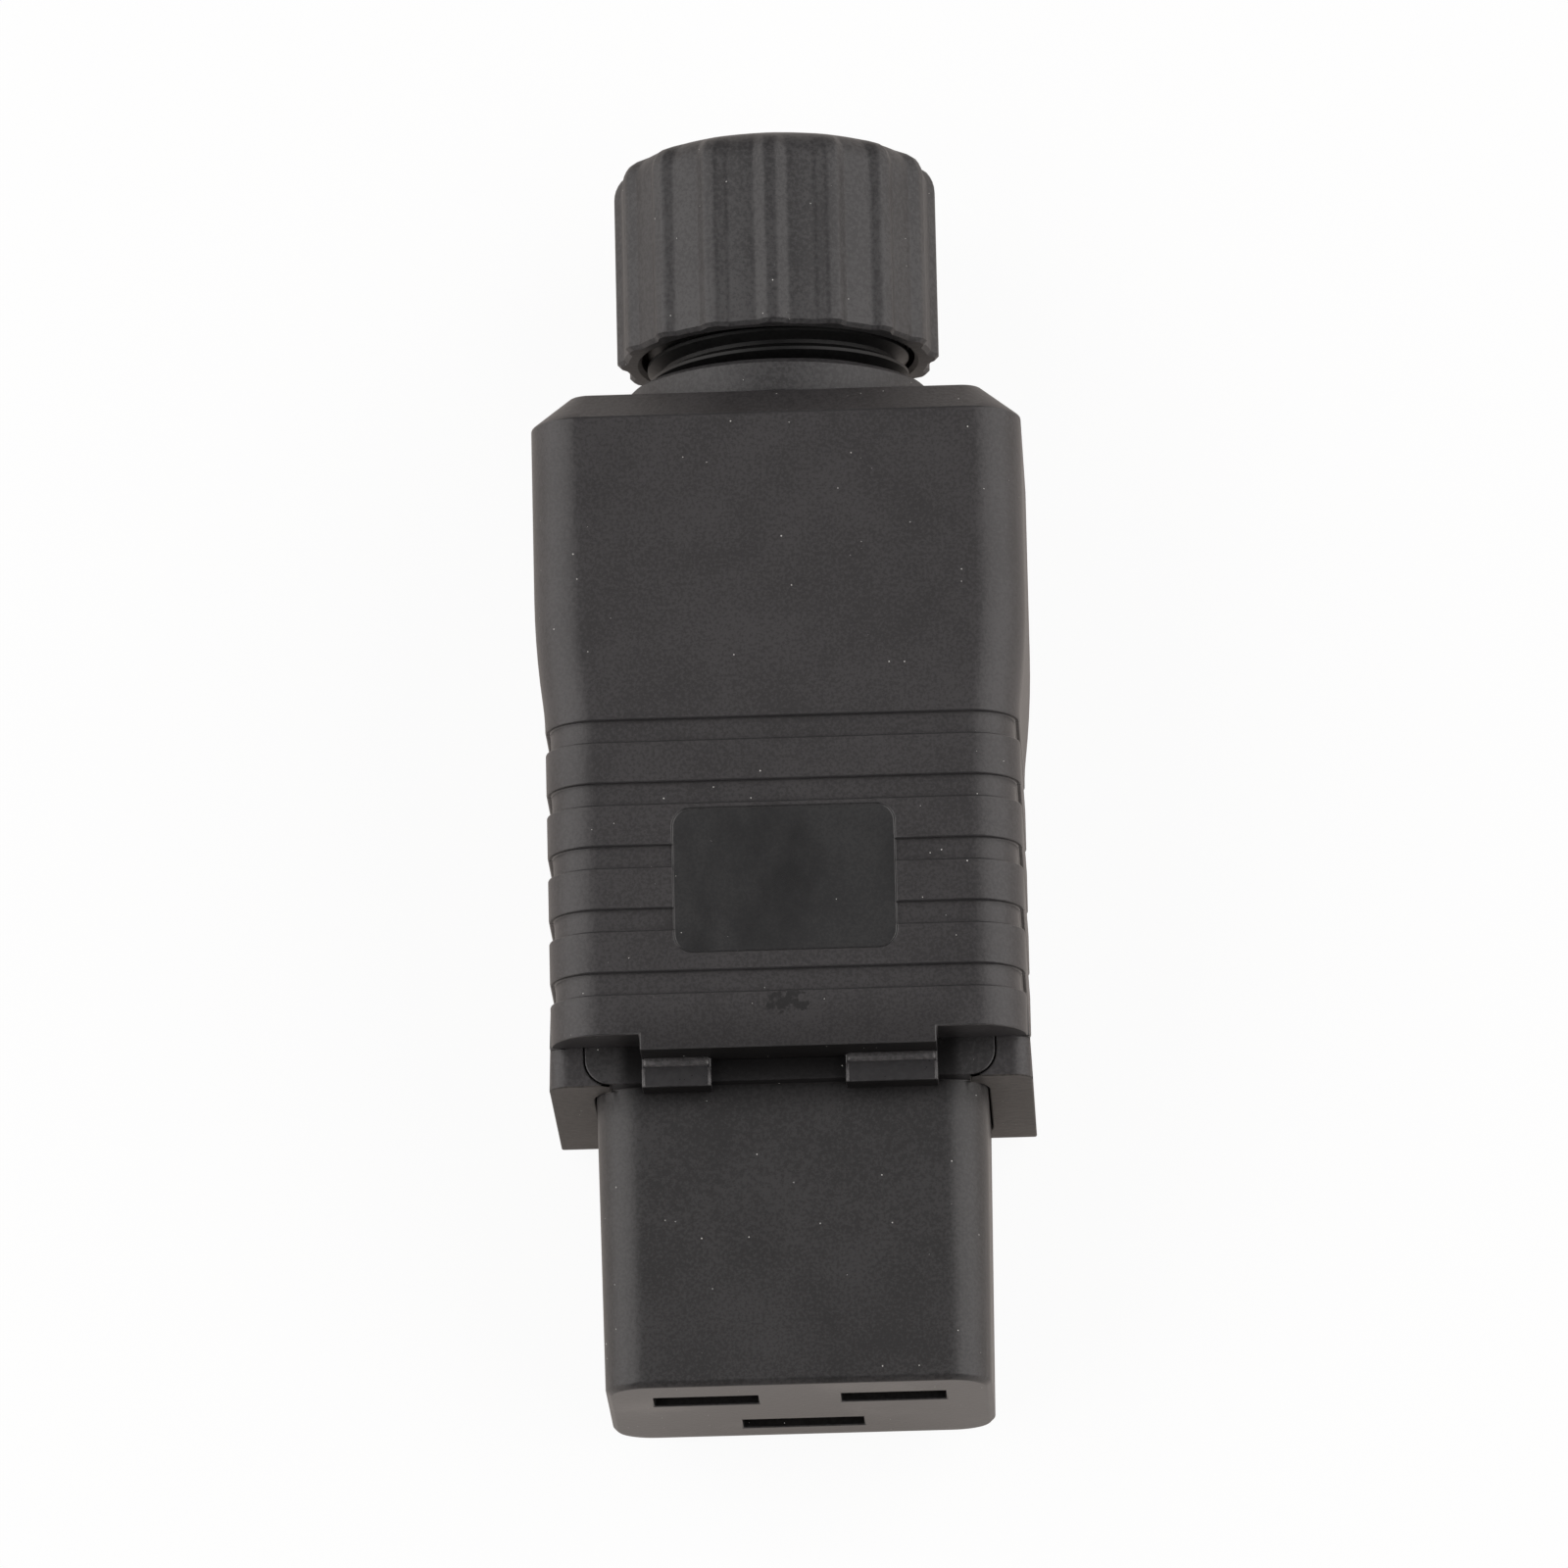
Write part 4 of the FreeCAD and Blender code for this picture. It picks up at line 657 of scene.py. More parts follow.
def weighted(tree, first, first_share, second, second_share):
    first_part = maths(tree, "MULTIPLY", first, first_share)
    return maths(tree, "ADD", first_part, maths(tree, "MULTIPLY", second, second_share))


def swing(tree, value, amount):
    """From minus to plus half the amount, as the value goes from 0 to 1."""
    return maths(tree, "MULTIPLY", maths(tree, "SUBTRACT", value, 0.5), amount)


# %% Group: grain of the mould
PIT_HEIGHT = 0.7
FINE_HEIGHT = 0.6
FINE_SCALE = 1.7
SPECKLE_SCALE = 1.3
SPECKLE_SHARE = 0.7
PATCH_SHARE = 0.3


def grain_group():
    """Height for a bump, and a mottle that is mostly speckle and partly patches."""
    tree, given, result = shader_group(
        "mould_grain", [("Scale", 3200.0), ("Patch Scale", 190.0)], ["Height", "Mottle"]
    )
    place = object_place(tree)
    pits = add_node(tree, "ShaderNodeTexVoronoi", feature="SMOOTH_F1")
    feed(tree, pits.inputs["Vector"], place)
    feed(tree, pits.inputs["Scale"], given["Scale"])
    fine_scale = maths(tree, "MULTIPLY", given["Scale"], FINE_SCALE)
    fine = noise(tree, place, fine_scale, detail=3.0, roughness=0.6)
    height = weighted(tree, pits.outputs["Distance"], PIT_HEIGHT, fine, FINE_HEIGHT)
    feed(tree, result["Height"], height)
    speckle_scale = maths(tree, "MULTIPLY", given["Scale"], SPECKLE_SCALE)
    speckle = noise(tree, place, speckle_scale, detail=2.0, roughness=0.7)
    patches = noise(tree, place, given["Patch Scale"], detail=4.0, roughness=0.6)
    mottle = weighted(tree, patches, PATCH_SHARE, speckle, SPECKLE_SHARE)
    feed(tree, result["Mottle"], mottle)
    return tree


# %% Group: smudges that handling leaves
SMUDGE_STRETCH = (1.0, 0.55, 1.0)
SMUDGE_SHIFT = (0.0137, 0.0071, 0.003)
SMUDGE_RANGE = (0.5, 0.72)


def smudge_group():
    """Patches about twice as long along the connector as across it."""
    tree, given, result = shader_group(
        "handling_smudges", [("Scale", 90.0), ("Amount", 0.5)], ["Smudge"]
    )
    stretch = add_node(tree, "ShaderNodeMapping")
    feed(tree, stretch.inputs["Vector"], object_place(tree))
    stretch.inputs["Scale"].default_value = SMUDGE_STRETCH
    stretch.inputs["Location"].default_value = SMUDGE_SHIFT
    patches = noise(tree, stretch.outputs[0], given["Scale"], detail=5.0, roughness=0.58)
    mask = ramped(tree, patches, *SMUDGE_RANGE)
    feed(tree, result["Smudge"], maths(tree, "MULTIPLY", mask, given["Amount"]))
    return tree


# %% Group: sparse dust
DUST_SCALE = 1100.0
SMALLEST_SPECK = 0.4


def dust_group():
    """Random cells hold a round speck each, and no two specks are quite the same size."""
    tree, given, result = shader_group("dust_specks", [("Density", 0.5), ("Size", 0.042)], ["Speck"])
    cells = add_node(tree, "ShaderNodeTexVoronoi", feature="F1")
    feed(tree, cells.inputs["Vector"], object_place(tree))
    feed(tree, cells.inputs["Scale"], DUST_SCALE)
    chance = add_node(tree, "ShaderNodeSeparateColor")
    feed(tree, chance.inputs[0], cells.outputs["Color"])
    few = maths(tree, "LESS_THAN", chance.outputs[0], given["Density"])
    share = maths(tree, "ADD", chance.outputs[1], SMALLEST_SPECK)
    size = maths(tree, "MULTIPLY", given["Size"], share)
    near = maths(tree, "LESS_THAN", cells.outputs["Distance"], size)
    feed(tree, result["Speck"], maths(tree, "MULTIPLY", few, near))
    return tree


# %% Group: scar where the mould was filled
SCAR_SIZES = [
    ("Half Length", 1.7 * MM),
    ("Half Width", 0.8 * MM),
    ("Depth", 1.0 * MM),
    ("Raggedness", 4.5),
]
SCAR_SCALE = 1500.0
SCAR_RANGE = (1.1, 0.5)


def scar_group(middle):
    """Ragged mark on the top face: 1 in the scar, 0 outside."""
    tree, given, result = shader_group("gate_scar", SCAR_SIZES, ["Scar"])
    place = object_place(tree)
    offset = add_node(tree, "ShaderNodeVectorMath", operation="SUBTRACT")
    feed(tree, offset.inputs[0], place)
    offset.inputs[1].default_value = middle
    split = add_node(tree, "ShaderNodeSeparateXYZ")
    feed(tree, split.inputs[0], offset.outputs[0])
    spread = 0.0
    for axis, size in (("X", "Half Length"), ("Y", "Half Width"), ("Z", "Depth")):
        share = maths(tree, "DIVIDE", split.outputs[axis], given[size])
        spread = maths(tree, "ADD", spread, maths(tree, "POWER", share, 2.0))
    ragged = noise(tree, place, SCAR_SCALE, detail=3.0)
    torn = maths(tree, "ADD", spread, swing(tree, ragged, given["Raggedness"]))
    feed(tree, result["Scar"], ramped(tree, torn, *SCAR_RANGE))
    return tree


# %% Group: painted shade under the edge of the cover
SHADE_FRONT = cover_low.y - 2.6 * MM
SHADE_LOW = tub_high.z - 1.3 * MM
SHADE_HALF_WIDTH = 12.0 * MM
SIDE_FADE = 1.2 * MM
LOWER_FADE = 1.5 * MM
BACK_FADE = (4.5 * MM, 0.2 * MM)


# Painted shade: darkens and dulls the nylon next to the cover's front edge, where the step of the
# cover shades the flange and the nose.
def painted_shade_mask(tree):
    """1 under the cover's front edge, 0 a few millimetres away from it."""
    split = add_node(tree, "ShaderNodeSeparateXYZ")
    feed(tree, split.inputs[0], object_place(tree))
    side = maths(tree, "ABSOLUTE", split.outputs["X"])
    ahead = ramped(tree, split.outputs["Y"], SHADE_FRONT, cover_edge)
    behind = ramped(tree, split.outputs["Y"], *(cover_edge + fade for fade in BACK_FADE))
    middle = ramped(tree, side, SHADE_HALF_WIDTH + SIDE_FADE, SHADE_HALF_WIDTH)
    top = ramped(tree, split.outputs["Z"], SHADE_LOW - LOWER_FADE, SHADE_LOW)
    along = maths(tree, "MULTIPLY", ahead, behind)
    return maths(tree, "MULTIPLY", along, maths(tree, "MULTIPLY", middle, top))


# The painted shade as a group, scaled by its amount.
def painted_shade_group():
    tree, given, result = shader_group("painted_corner_shade", [("Amount", 0.5)], ["Grime"])
    feed(tree, result["Grime"], maths(tree, "MULTIPLY", painted_shade_mask(tree), given["Amount"]))
    return tree


# %% Make the groups
SCAR_STATION = cover_low.y + 5.6 * MM
GRAIN = grain_group()
SMUDGES = smudge_group()
DUST = dust_group()
# painted shade under the cover's front edge
PAINTED_SHADE = painted_shade_group()
SCAR = scar_group((0.0, SCAR_STATION, cover_high.z))
print("shader groups:", GRAIN.name, SMUDGES.name, DUST.name, PAINTED_SHADE.name, SCAR.name)


# %% [markdown]
# ## Moulded nylon
# Black nylon isn't black: it scatters a little grey, and its grain spreads every
# reflection. The base colour wanders slightly with the mottle, the roughness drops
# where the surface was handled, and the bump comes from the grain. One function
# makes all the nylon finishes, because only the numbers differ.


# %% Helpers for finishes
def placed_group(tree, group, **values):
    node = add_node(tree, "ShaderNodeGroup", node_tree=group)
    for label, value in values.items():
        feed(tree, node.inputs[label.replace("_", " ").title()], value)
    return node.outputs


def colour_mix(tree, factor, first, second):
    node = add_node(tree, "ShaderNodeMix", data_type="RGBA")
    feed(tree, node.inputs["Factor"], factor)
    colours = [socket for socket in node.inputs if socket.type == "RGBA"]
    feed(tree, colours[0], first)
    feed(tree, colours[1], second)
    return [socket for socket in node.outputs if socket.type == "RGBA"][0]


def new_finish(name):
    material = bpy.data.materials.new(name)
    material.use_nodes = True
    tree = material.node_tree
    shader = next(node for node in tree.nodes if node.type == "BSDF_PRINCIPLED")
    print("finish:", name)
    return material, tree, shader


def add_relief(tree, shader, height, strength, depth):
    bump = add_node(tree, "ShaderNodeBump")
    bump.inputs["Strength"].default_value = strength
    bump.inputs["Distance"].default_value = depth
    feed(tree, bump.inputs["Height"], height)
    feed(tree, shader.inputs["Normal"], bump.outputs[0])


# %% Colour and sheen of nylon
MOTTLE_RANGE = (0.42, 0.58)
DEEP_SHARE = 0.35
DUST_COLOUR = (0.6, 0.6, 0.58, 1)
SHADE_DULLS = 0.8


def nylon_colour(tree, dark, light, mottle, stains_and_shade, specks):
    """Mottled between dark and light, deeper at every stain and at the painted shade, pale at the
    specks.
    """
    deep = (*(value * DEEP_SHARE for value in dark), 1)
    colour = colour_mix(tree, ramped(tree, mottle, *MOTTLE_RANGE), (*dark, 1), (*light, 1))
    for darkening in stains_and_shade:
        colour = colour_mix(tree, darkening, colour, deep)
    return colour_mix(tree, specks, colour, DUST_COLOUR)


def nylon_sheen(tree, socket, specular, shade_amount):
    """A plain value, or less where the painted shade lies, which dims reflections
    there. No group feeds this input, so the mask is made in the material itself."""
    if shade_amount:
        shade_share = maths(tree, "MULTIPLY", painted_shade_mask(tree), shade_amount)
        unshaded = maths(tree, "SUBTRACT", 1.0, maths(tree, "MULTIPLY", shade_share, SHADE_DULLS))
        specular = maths(tree, "MULTIPLY", unshaded, specular)
    feed(tree, socket, specular)


# %% A moulded finish from the groups
MOTTLE_SWING = 0.16
GRAIN_DEPTH = 0.03 * MM


def moulded_nylon(
    name,
    dark,
    light,
    roughness,
    grain,
    bump,
    gloss=0.1,
    smudge=0.5,
    darkening=0.24,
    dust=0.4,
    specular=0.5,
    scar=0.0,
    shade_amount=0.0,
):
    material, tree, shader = new_finish(name)
    surface = placed_group(tree, GRAIN, scale=grain)
    handled = placed_group(tree, SMUDGES, amount=smudge)["Smudge"]
    specks = placed_group(tree, DUST, density=dust)["Speck"]
    # painted shade under the cover's front edge, in the colour and the sheen
    shade_share = placed_group(tree, PAINTED_SHADE, amount=shade_amount)["Grime"]
    mark = maths(tree, "MULTIPLY", placed_group(tree, SCAR)["Scar"], scar)
    stains_and_shade = (maths(tree, "MULTIPLY", handled, darkening), shade_share, mark)
    colour = nylon_colour(tree, dark, light, surface["Mottle"], stains_and_shade, specks)
    feed(tree, shader.inputs["Base Color"], colour)
    rubbed = maths(tree, "MULTIPLY", handled, gloss)
    wander = swing(tree, surface["Mottle"], MOTTLE_SWING)
    even = maths(tree, "ADD", maths(tree, "SUBTRACT", roughness, rubbed), wander)
    feed(tree, shader.inputs["Roughness"], even)
    height = maths(tree, "SUBTRACT", surface["Height"], mark)
    add_relief(tree, shader, height, bump, GRAIN_DEPTH)
    nylon_sheen(tree, shader.inputs["Specular IOR Level"], specular, shade_amount)
    return material


# %% Nylon of the housing
shell_nylon = moulded_nylon(
    "shell_nylon",
    dark=(0.0205, 0.0190, 0.0197),
    light=(0.0350, 0.0328, 0.0340),
    roughness=0.44,
    grain=3000.0,
    bump=0.6,
    scar=1.0,
    # painted shade in front of and behind the cover's front edge
    shade_amount=0.35,
)
# Rubbed edges; their lighter colour also paints a highlight along the bevel.
edge_wear_highlight_nylon = moulded_nylon(
    "rubbed_edge_highlight_nylon",
    dark=(0.026, 0.0255, 0.026),
    light=(0.036, 0.035, 0.036),
    roughness=0.38,
    grain=3400.0,
    bump=0.25,
    dust=0.0,
)
nose_nylon = moulded_nylon(
    "nose_nylon",
    dark=(0.015, 0.0143, 0.0146),
    light=(0.029, 0.0278, 0.0285),
    roughness=0.42,
    grain=3000.0,
    bump=0.45,
    # painted shade on the nose under the cover's front edge
    shade_amount=0.9,
)
# Scuffed cheeks; the lighter, warmer colour also paints the warm reflection of the floor.
worn_and_warm_reflection_nylon = moulded_nylon(
    "worn_and_warm_reflection_nylon",
    dark=(0.022, 0.02, 0.018),
    light=(0.046, 0.041, 0.038),
    roughness=0.56,
    grain=1500.0,
    bump=1.0,
    specular=0.4,
)

# %% Nylon of the label plate, the hooks and the shaded places
plate_nylon = moulded_nylon(
    "plate_nylon",
    dark=(0.015, 0.015, 0.0155),
    light=(0.022, 0.022, 0.022),
    roughness=0.36,
    grain=3600.0,
    bump=0.12,
    smudge=1.0,
    darkening=1.0,
)
hook_nylon = moulded_nylon(
    "hook_nylon",
    dark=(0.018, 0.017, 0.018),
    light=(0.024, 0.023, 0.024),
    roughness=0.3,
    grain=1600.0,
    bump=0.12,
    dust=0.0,
)
# Painted highlight: a pale finish that stands in for the glint along the hook ridges and rims.
ridge_highlight_nylon = moulded_nylon(
    "ridge_highlight_nylon",
    dark=(0.05, 0.048, 0.049),
    light=(0.08, 0.077, 0.078),
    roughness=0.3,
    grain=2200.0,
    bump=0.4,
    dust=0.0,
)
shade_nylon = moulded_nylon(
    "shade_nylon",
    dark=(0.006, 0.0055, 0.0055),
    light=(0.01, 0.0095, 0.0095),
    roughness=0.6,
    grain=2600.0,
    bump=0.2,
    specular=0.12,
)

# %% Nylon of the gland
gland_nylon = moulded_nylon(
    "gland_nylon",
    dark=(0.021, 0.020, 0.021),
    light=(0.041, 0.040, 0.041),
    roughness=0.52,
    grain=2600.0,
    bump=0.8,
)
# Painted shade: a near-black finish for the thread and the nut's bore, which lie in shade.
thread_shade_nylon = moulded_nylon(
    "thread_shade_nylon",
    dark=(0.004, 0.004, 0.004),
    light=(0.007, 0.007, 0.007),
    roughness=0.45,
    grain=2600.0,
    bump=0.3,
    specular=0.28,
)

# %% [markdown]
# ## Metal, rubber and the natural nylon washer
# The brass contacts are stamped from strip, the springs and screws are steel, and
# the sleeve is soft rubber. They sit inside, so they only show through slots, holes
# and the open rear of the nut, but each gets the finish that its stock has. The
# brass and the springs show fine lines, as they were rolled or drawn. The rubber and
# the washer are moulded too, so the nylon function makes them.


# %% Strip metal and rubber
BRUSH_SCALE = 900.0
BRUSH_SWING = 0.25
BRUSH_BUMP = 0.2
BRUSH_DEPTH = 0.01 * MM


def strip_metal(name, colour, darker, roughness, stretch):
    material, tree, shader = new_finish(name)
    place = add_node(tree, "ShaderNodeMapping")
    feed(tree, place.inputs["Vector"], object_place(tree))
    place.inputs["Scale"].default_value = stretch
    lines = noise(tree, place.outputs[0], BRUSH_SCALE, detail=4.0, roughness=0.6)
    feed(tree, shader.inputs["Base Color"], colour_mix(tree, lines, (*darker, 1), (*colour, 1)))
    wander = swing(tree, lines, BRUSH_SWING)
    feed(tree, shader.inputs["Roughness"], maths(tree, "ADD", wander, roughness))
    shader.inputs["Metallic"].default_value = 1.0
    add_relief(tree, shader, lines, BRUSH_BUMP, BRUSH_DEPTH)
    return material


contact_brass = strip_metal("contact_brass", (0.80, 0.60, 0.27), (0.6, 0.42, 0.17), 0.3, (6, 1, 1))
spring_steel = strip_metal("spring_steel", (0.6, 0.6, 0.6), (0.42, 0.42, 0.42), 0.32, (1, 6, 1))
plated_steel = strip_metal("plated_steel", (0.7, 0.7, 0.68), (0.52, 0.52, 0.5), 0.3, (1, 1, 1))
sleeve_rubber = moulded_nylon(
    "sleeve_rubber",
    dark=(0.018, 0.018, 0.018),
    light=(0.026, 0.026, 0.026),
    roughness=0.72,
    grain=1800.0,
    bump=0.3,
    specular=0.3,
)
washer_nylon = moulded_nylon(
    "washer_nylon",
    dark=(0.5, 0.48, 0.42),
    light=(0.62, 0.6, 0.53),
    roughness=0.45,
    grain=2400.0,
    bump=0.2,
    dust=0.0,
)

# %% [markdown]
# ## Putting finishes on pieces
# A bevelled piece has a second slot for its rubbed edges, which on the cover and the
# tub also paints a highlight on them. The label recess and the two hooks are smoother
# than the rest, and the faces that look out under the cover's front edge are in shade,
# which their dark finish paints, so these faces are picked by place and get slots of
# their own.


# %% Dress the mouldings
def finished(piece, *materials):
    slots = [polygon.material_index for polygon in piece.data.polygons]
    piece.data.materials.clear()
    for material in materials:
        piece.data.materials.append(material)
    piece.data.polygons.foreach_set("material_index", slots)
    print(piece.name, "takes", ", ".join(material.name for material in materials))


def faces_within(piece, low, high):
    for polygon in piece.data.polygons:
        middle = polygon.center
        if all(low[i] <= middle[i] <= high[i] for i in range(3)):
            yield polygon


finished(cover, shell_nylon, edge_wear_highlight_nylon, plate_nylon, hook_nylon, shade_nylon)
finished(tub, shell_nylon, edge_wear_highlight_nylon, worn_and_warm_reflection_nylon)
finished(block, nose_nylon, nose_nylon, shade_nylon)
finished(nut, gland_nylon, thread_shade_nylon)
finished(neck, gland_nylon, thread_shade_nylon)

# %% Pick the label recess
PLATE_SLOT = 2
PLATE_HALF = 8.35 * MM
PLATE_START = 9.6 * MM
PLATE_LENGTH = 11.1 * MM
PLATE_DEEPEST = 0.3 * MM
PLATE_SHALLOWEST = 0.05 * MM
LEVEL = 0.99  # least upward share of a face's normal
plate_front = cover_low.y + PLATE_START
plate_low = (-PLATE_HALF, plate_front, cover_high.z - PLATE_DEEPEST)
plate_high = (PLATE_HALF, plate_front + PLATE_LENGTH, cover_high.z - PLATE_SHALLOWEST)
plate_faces = [face for face in faces_within(cover, plate_low, plate_high) if face.normal.z > LEVEL]
for polygon in plate_faces:
    polygon.material_index = PLATE_SLOT
print("plate faces:", len(plate_faces))

# %% Pick the hooks, their fronts and the edge of the cover between them
HOOK_SLOT = 3
SHADE_SLOT = 4
FAR = 1.0  # past any piece, so that way is left open
HOOK_THICK = 1.0 * MM
HOOK_MARGIN = 0.1 * MM
HOOK_FRONT = 0.3 * MM
EDGE_BAND = (-0.2 * MM, 0.4 * MM)
EDGE_HEIGHTS = (tub_high.z - 1.5 * MM, cover_high.z - 0.2 * MM)
FORWARD = -0.5  # least forward share of a face's normal
hook_low = (-FAR, cover_low.y - MM, 0)
hook_high = (FAR, cover_edge, tub_high.z + HOOK_THICK + HOOK_MARGIN)
hook_faces = list(faces_within(cover, hook_low, hook_high))
for polygon in hook_faces:
    at_front = polygon.center.y < cover_low.y + HOOK_FRONT
    shaded = polygon.normal.y < FORWARD and at_front
    polygon.material_index = SHADE_SLOT if shaded else HOOK_SLOT
edge_low = (-FAR, cover_edge + EDGE_BAND[0], EDGE_HEIGHTS[0])
edge_high = (FAR, cover_edge + EDGE_BAND[1], EDGE_HEIGHTS[1])
shade_faces = [face for face in faces_within(cover, edge_low, edge_high) if face.normal.y < FORWARD]
for polygon in shade_faces:
    polygon.material_index = SHADE_SLOT
print("hook faces:", len(hook_faces), "shaded faces:", len(shade_faces))

# %% [markdown]
# ## Slots and cheeks
# Little light reaches into the three slots, so their walls take the dark finish,
# which paints that shade. The two cheeks of the shell beside the nose are rubbed by
# every socket the plug meets, so they are coarser and duller, and their lighter,
# warmer colour paints the warm reflection of the floor in front of them.

# %% Pick the slot walls and the cheeks
# painted shade on the slot walls
WALL_SLOT = 2
CHEEK_SLOT = 2
SLOTS_HALF = 12.8 * MM
SLOTS_LOW = 3.4 * MM
SLOTS_HIGH = 20.6 * MM
SLOTS_DEEP = 20 * MM
TIP_ROUND = 0.25 * MM
CHEEK_BAND = 0.1 * MM
slots_low = (-SLOTS_HALF, nose_low.y + TIP_ROUND, SLOTS_LOW)
slots_high = (SLOTS_HALF, nose_low.y + SLOTS_DEEP, SLOTS_HIGH)
slot_faces = list(faces_within(block, slots_low, slots_high))
for polygon in slot_faces:
    polygon.material_index = WALL_SLOT
cheeks_low = (-FAR, tub_low.y - CHEEK_BAND, -FAR)
cheeks_high = (FAR, tub_low.y + CHEEK_BAND, FAR)
cheek_faces = list(faces_within(tub, cheeks_low, cheeks_high))
for polygon in cheek_faces:
    polygon.material_index = CHEEK_SLOT
print("slot faces:", len(slot_faces), "cheek faces:", len(cheek_faces))

# %% [markdown]
# ## The dark thread
# Thread and bore sit in the shade, so their finish is darker than the outside, which
# paints that shade, with less of its grain. The faces are picked by their distance
# from the gland's axis.

# %% Paint shade on the thread and the bore of the nut
THREAD_SLOT = 1
CREST_MARGIN = 0.05
COLLAR_MARGIN = 0.05
MOUTH_MARGIN = 0.2


def axis_distance(point):
    return math.hypot(point.x, point.z - axis_height)


def darkened(piece, reach, start):
    """Faces nearer to the axis than reach and further back than start, in millimetres."""
    count = 0
    for polygon in piece.data.polygons:
        if axis_distance(polygon.center) < reach * MM and polygon.center.y > start * MM:
            polygon.material_index = THREAD_SLOT
            count += 1
    return count


thread_faces = darkened(neck, THREAD_TOP + CREST_MARGIN, collar + COLLAR_MARGIN)
bore_faces = darkened(nut, NUT_MOUTH + CREST_MARGIN, nut_front + MOUTH_MARGIN)
print("thread faces:", thread_faces, "bore faces:", bore_faces)

# %% [markdown]
# ## Ridges on the hooks
# Each hook of the cover has a round ridge where it leaves the cover and a raised rim
# along both sides, which keep so small an arm from bending. They are a few tenths of
# a millimetre high, so they are added here, on the place that the solid gives. Their
# pale finish paints the highlight that runs along them.


# %% A bar with soft edges
BAR_STEPS = 3


def soft_bar(work, low, high, soft):
    made = bmesh.ops.create_cube(work, size=1.0)["verts"]
    for vertex in made:
        for i in range(3):
            vertex.co[i] = low[i] if vertex.co[i] < 0 else high[i]
    edges = list(dict.fromkeys(edge for vertex in made for edge in vertex.link_edges))
    bmesh.ops.bevel(
        work, geom=edges, offset=soft, segments=BAR_STEPS, profile=0.5, affect="EDGES"
    )


# %% Add the ridges
HOOK_TOP = tub_high.z + HOOK_THICK
SUNK = 0.5 * MM
RIDGE_LENGTH = 0.65 * MM
RIDGE_HIGH = 0.3 * MM
RIDGE_INSET = 0.1 * MM
RIDGE_OVERLAP = 0.1 * MM
RIDGE_SOFT = 0.25 * MM
RIM_WIDE = 0.26 * MM
RIM_HIGH = 0.1 * MM
RIM_SETBACK = 0.02 * MM
RIM_GAP = 0.05 * MM
RIM_SOFT = 0.12 * MM
TIP_BAND = 0.1 * MM
RIDGE_SHARP_ANGLE = math.radians(50)
solid_points = [vertex.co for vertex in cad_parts["upper_shell"].data.vertices]
tip_points = [point for point in solid_points if point.y < cover_low.y + TIP_BAND]
ridge_start = cover_edge - RIDGE_LENGTH
work = bmesh.new()
for side in (-1, 1):
    across = [point.x for point in tip_points if point.x * side > 0]
    left, right = min(across), max(across)
    ridge_low = (left + RIDGE_INSET, ridge_start, HOOK_TOP - SUNK)
    ridge_high = (right - RIDGE_INSET, cover_edge + RIDGE_OVERLAP, HOOK_TOP + RIDGE_HIGH)
    soft_bar(work, ridge_low, ridge_high, RIDGE_SOFT)
    for start in (left, right - RIM_WIDE):
        rim_low = (start, cover_low.y + RIM_SETBACK, HOOK_TOP - SUNK)
        rim_high = (start + RIM_WIDE, ridge_start - RIM_GAP, HOOK_TOP + RIM_HIGH)
        soft_bar(work, rim_low, rim_high, RIM_SOFT)
bmesh.ops.recalc_face_normals(work, faces=work.faces)
ridge_mesh = bpy.data.meshes.new("hook_ridges")
work.to_mesh(ridge_mesh)
work.free()
smooth_but_for(ridge_mesh, RIDGE_SHARP_ANGLE)
# pale finish: painted highlight on the ridges and rims
ridge_mesh.materials.append(ridge_highlight_nylon)
ridges = bpy.data.objects.new("hook_ridges", ridge_mesh)
bpy.context.scene.collection.objects.link(ridges)
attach(ridges, "shell")
print("ridge faces:", len(ridge_mesh.polygons))

# %% [markdown]
# ## Finishes for the pieces that stay as packed
# Contacts, springs, clamps, screws, the lid, the claw, the sleeve and the washer have
# the right shape already, so only the material in their slot changes.

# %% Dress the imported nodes
CLAMPS = ["line_clamp", "neutral_clamp", "earth_clamp"]
SCREWS = ["terminal_screws", "lid_screws", "cover_screws"]
CARRIED = {
    contact_brass: ["line_contact", "neutral_contact", "earth_contact"],
    spring_steel: ["line_spring", "neutral_spring", "earth_spring"],
    plated_steel: CLAMPS + SCREWS,
    nose_nylon: ["terminal_lid"],
    gland_nylon: ["gland_claw"],
    sleeve_rubber: ["sealing_sleeve"],
    washer_nylon: ["slip_washer"],
}
for material, nodes in CARRIED.items():
    for node in nodes:
        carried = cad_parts[node]
        if not carried.material_slots:
            carried.data.materials.append(material)
        for slot in carried.material_slots:
            slot.material = material
print("packed nodes dressed:", sum(len(nodes) for nodes in CARRIED.values()))

# %% [markdown]
# ## Riding on the bodies
# The shell and all that is screwed to it is one body. The nut turns on a body that
# travels along the neck with the washer, so the nut's new skin rides on the nut.

# %% Ride and replace
RIDES = [
    (cover, "shell", "upper_shell", "shell"),
    (tub, "shell", "lower_shell", "shell"),
    (block, "shell", "contact_block", "block"),
    (neck, "shell", "gland_body", "gland"),
    (nut, "nut", "gland_nut", "gland"),
]
for piece, body, node, slot in RIDES:
    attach(piece, body)
    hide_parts(node)
    print(piece.name, "rides on", body, "and stands for", node)

# %% [markdown]
# ## A pale floor
# The connector lies on a white sweep. To stay white without flooding the part with
# light, the floor shows most of its whiteness only to the camera and to reflections,
# and a small part of it is ordinary matt white that keeps a soft contact shadow. In
# reflections it is dimmer and warmer, as paper is close beside a dark object.


# %% Finish of the floor
MATT = (0.9, 0.9, 0.9, 1)
WHITE = (1.0, 1.0, 1.0, 1)
WARM = (1.0, 0.86, 0.76, 1)
SEEN_SHARE = 0.93
REFLECTED_SHARE = 0.46


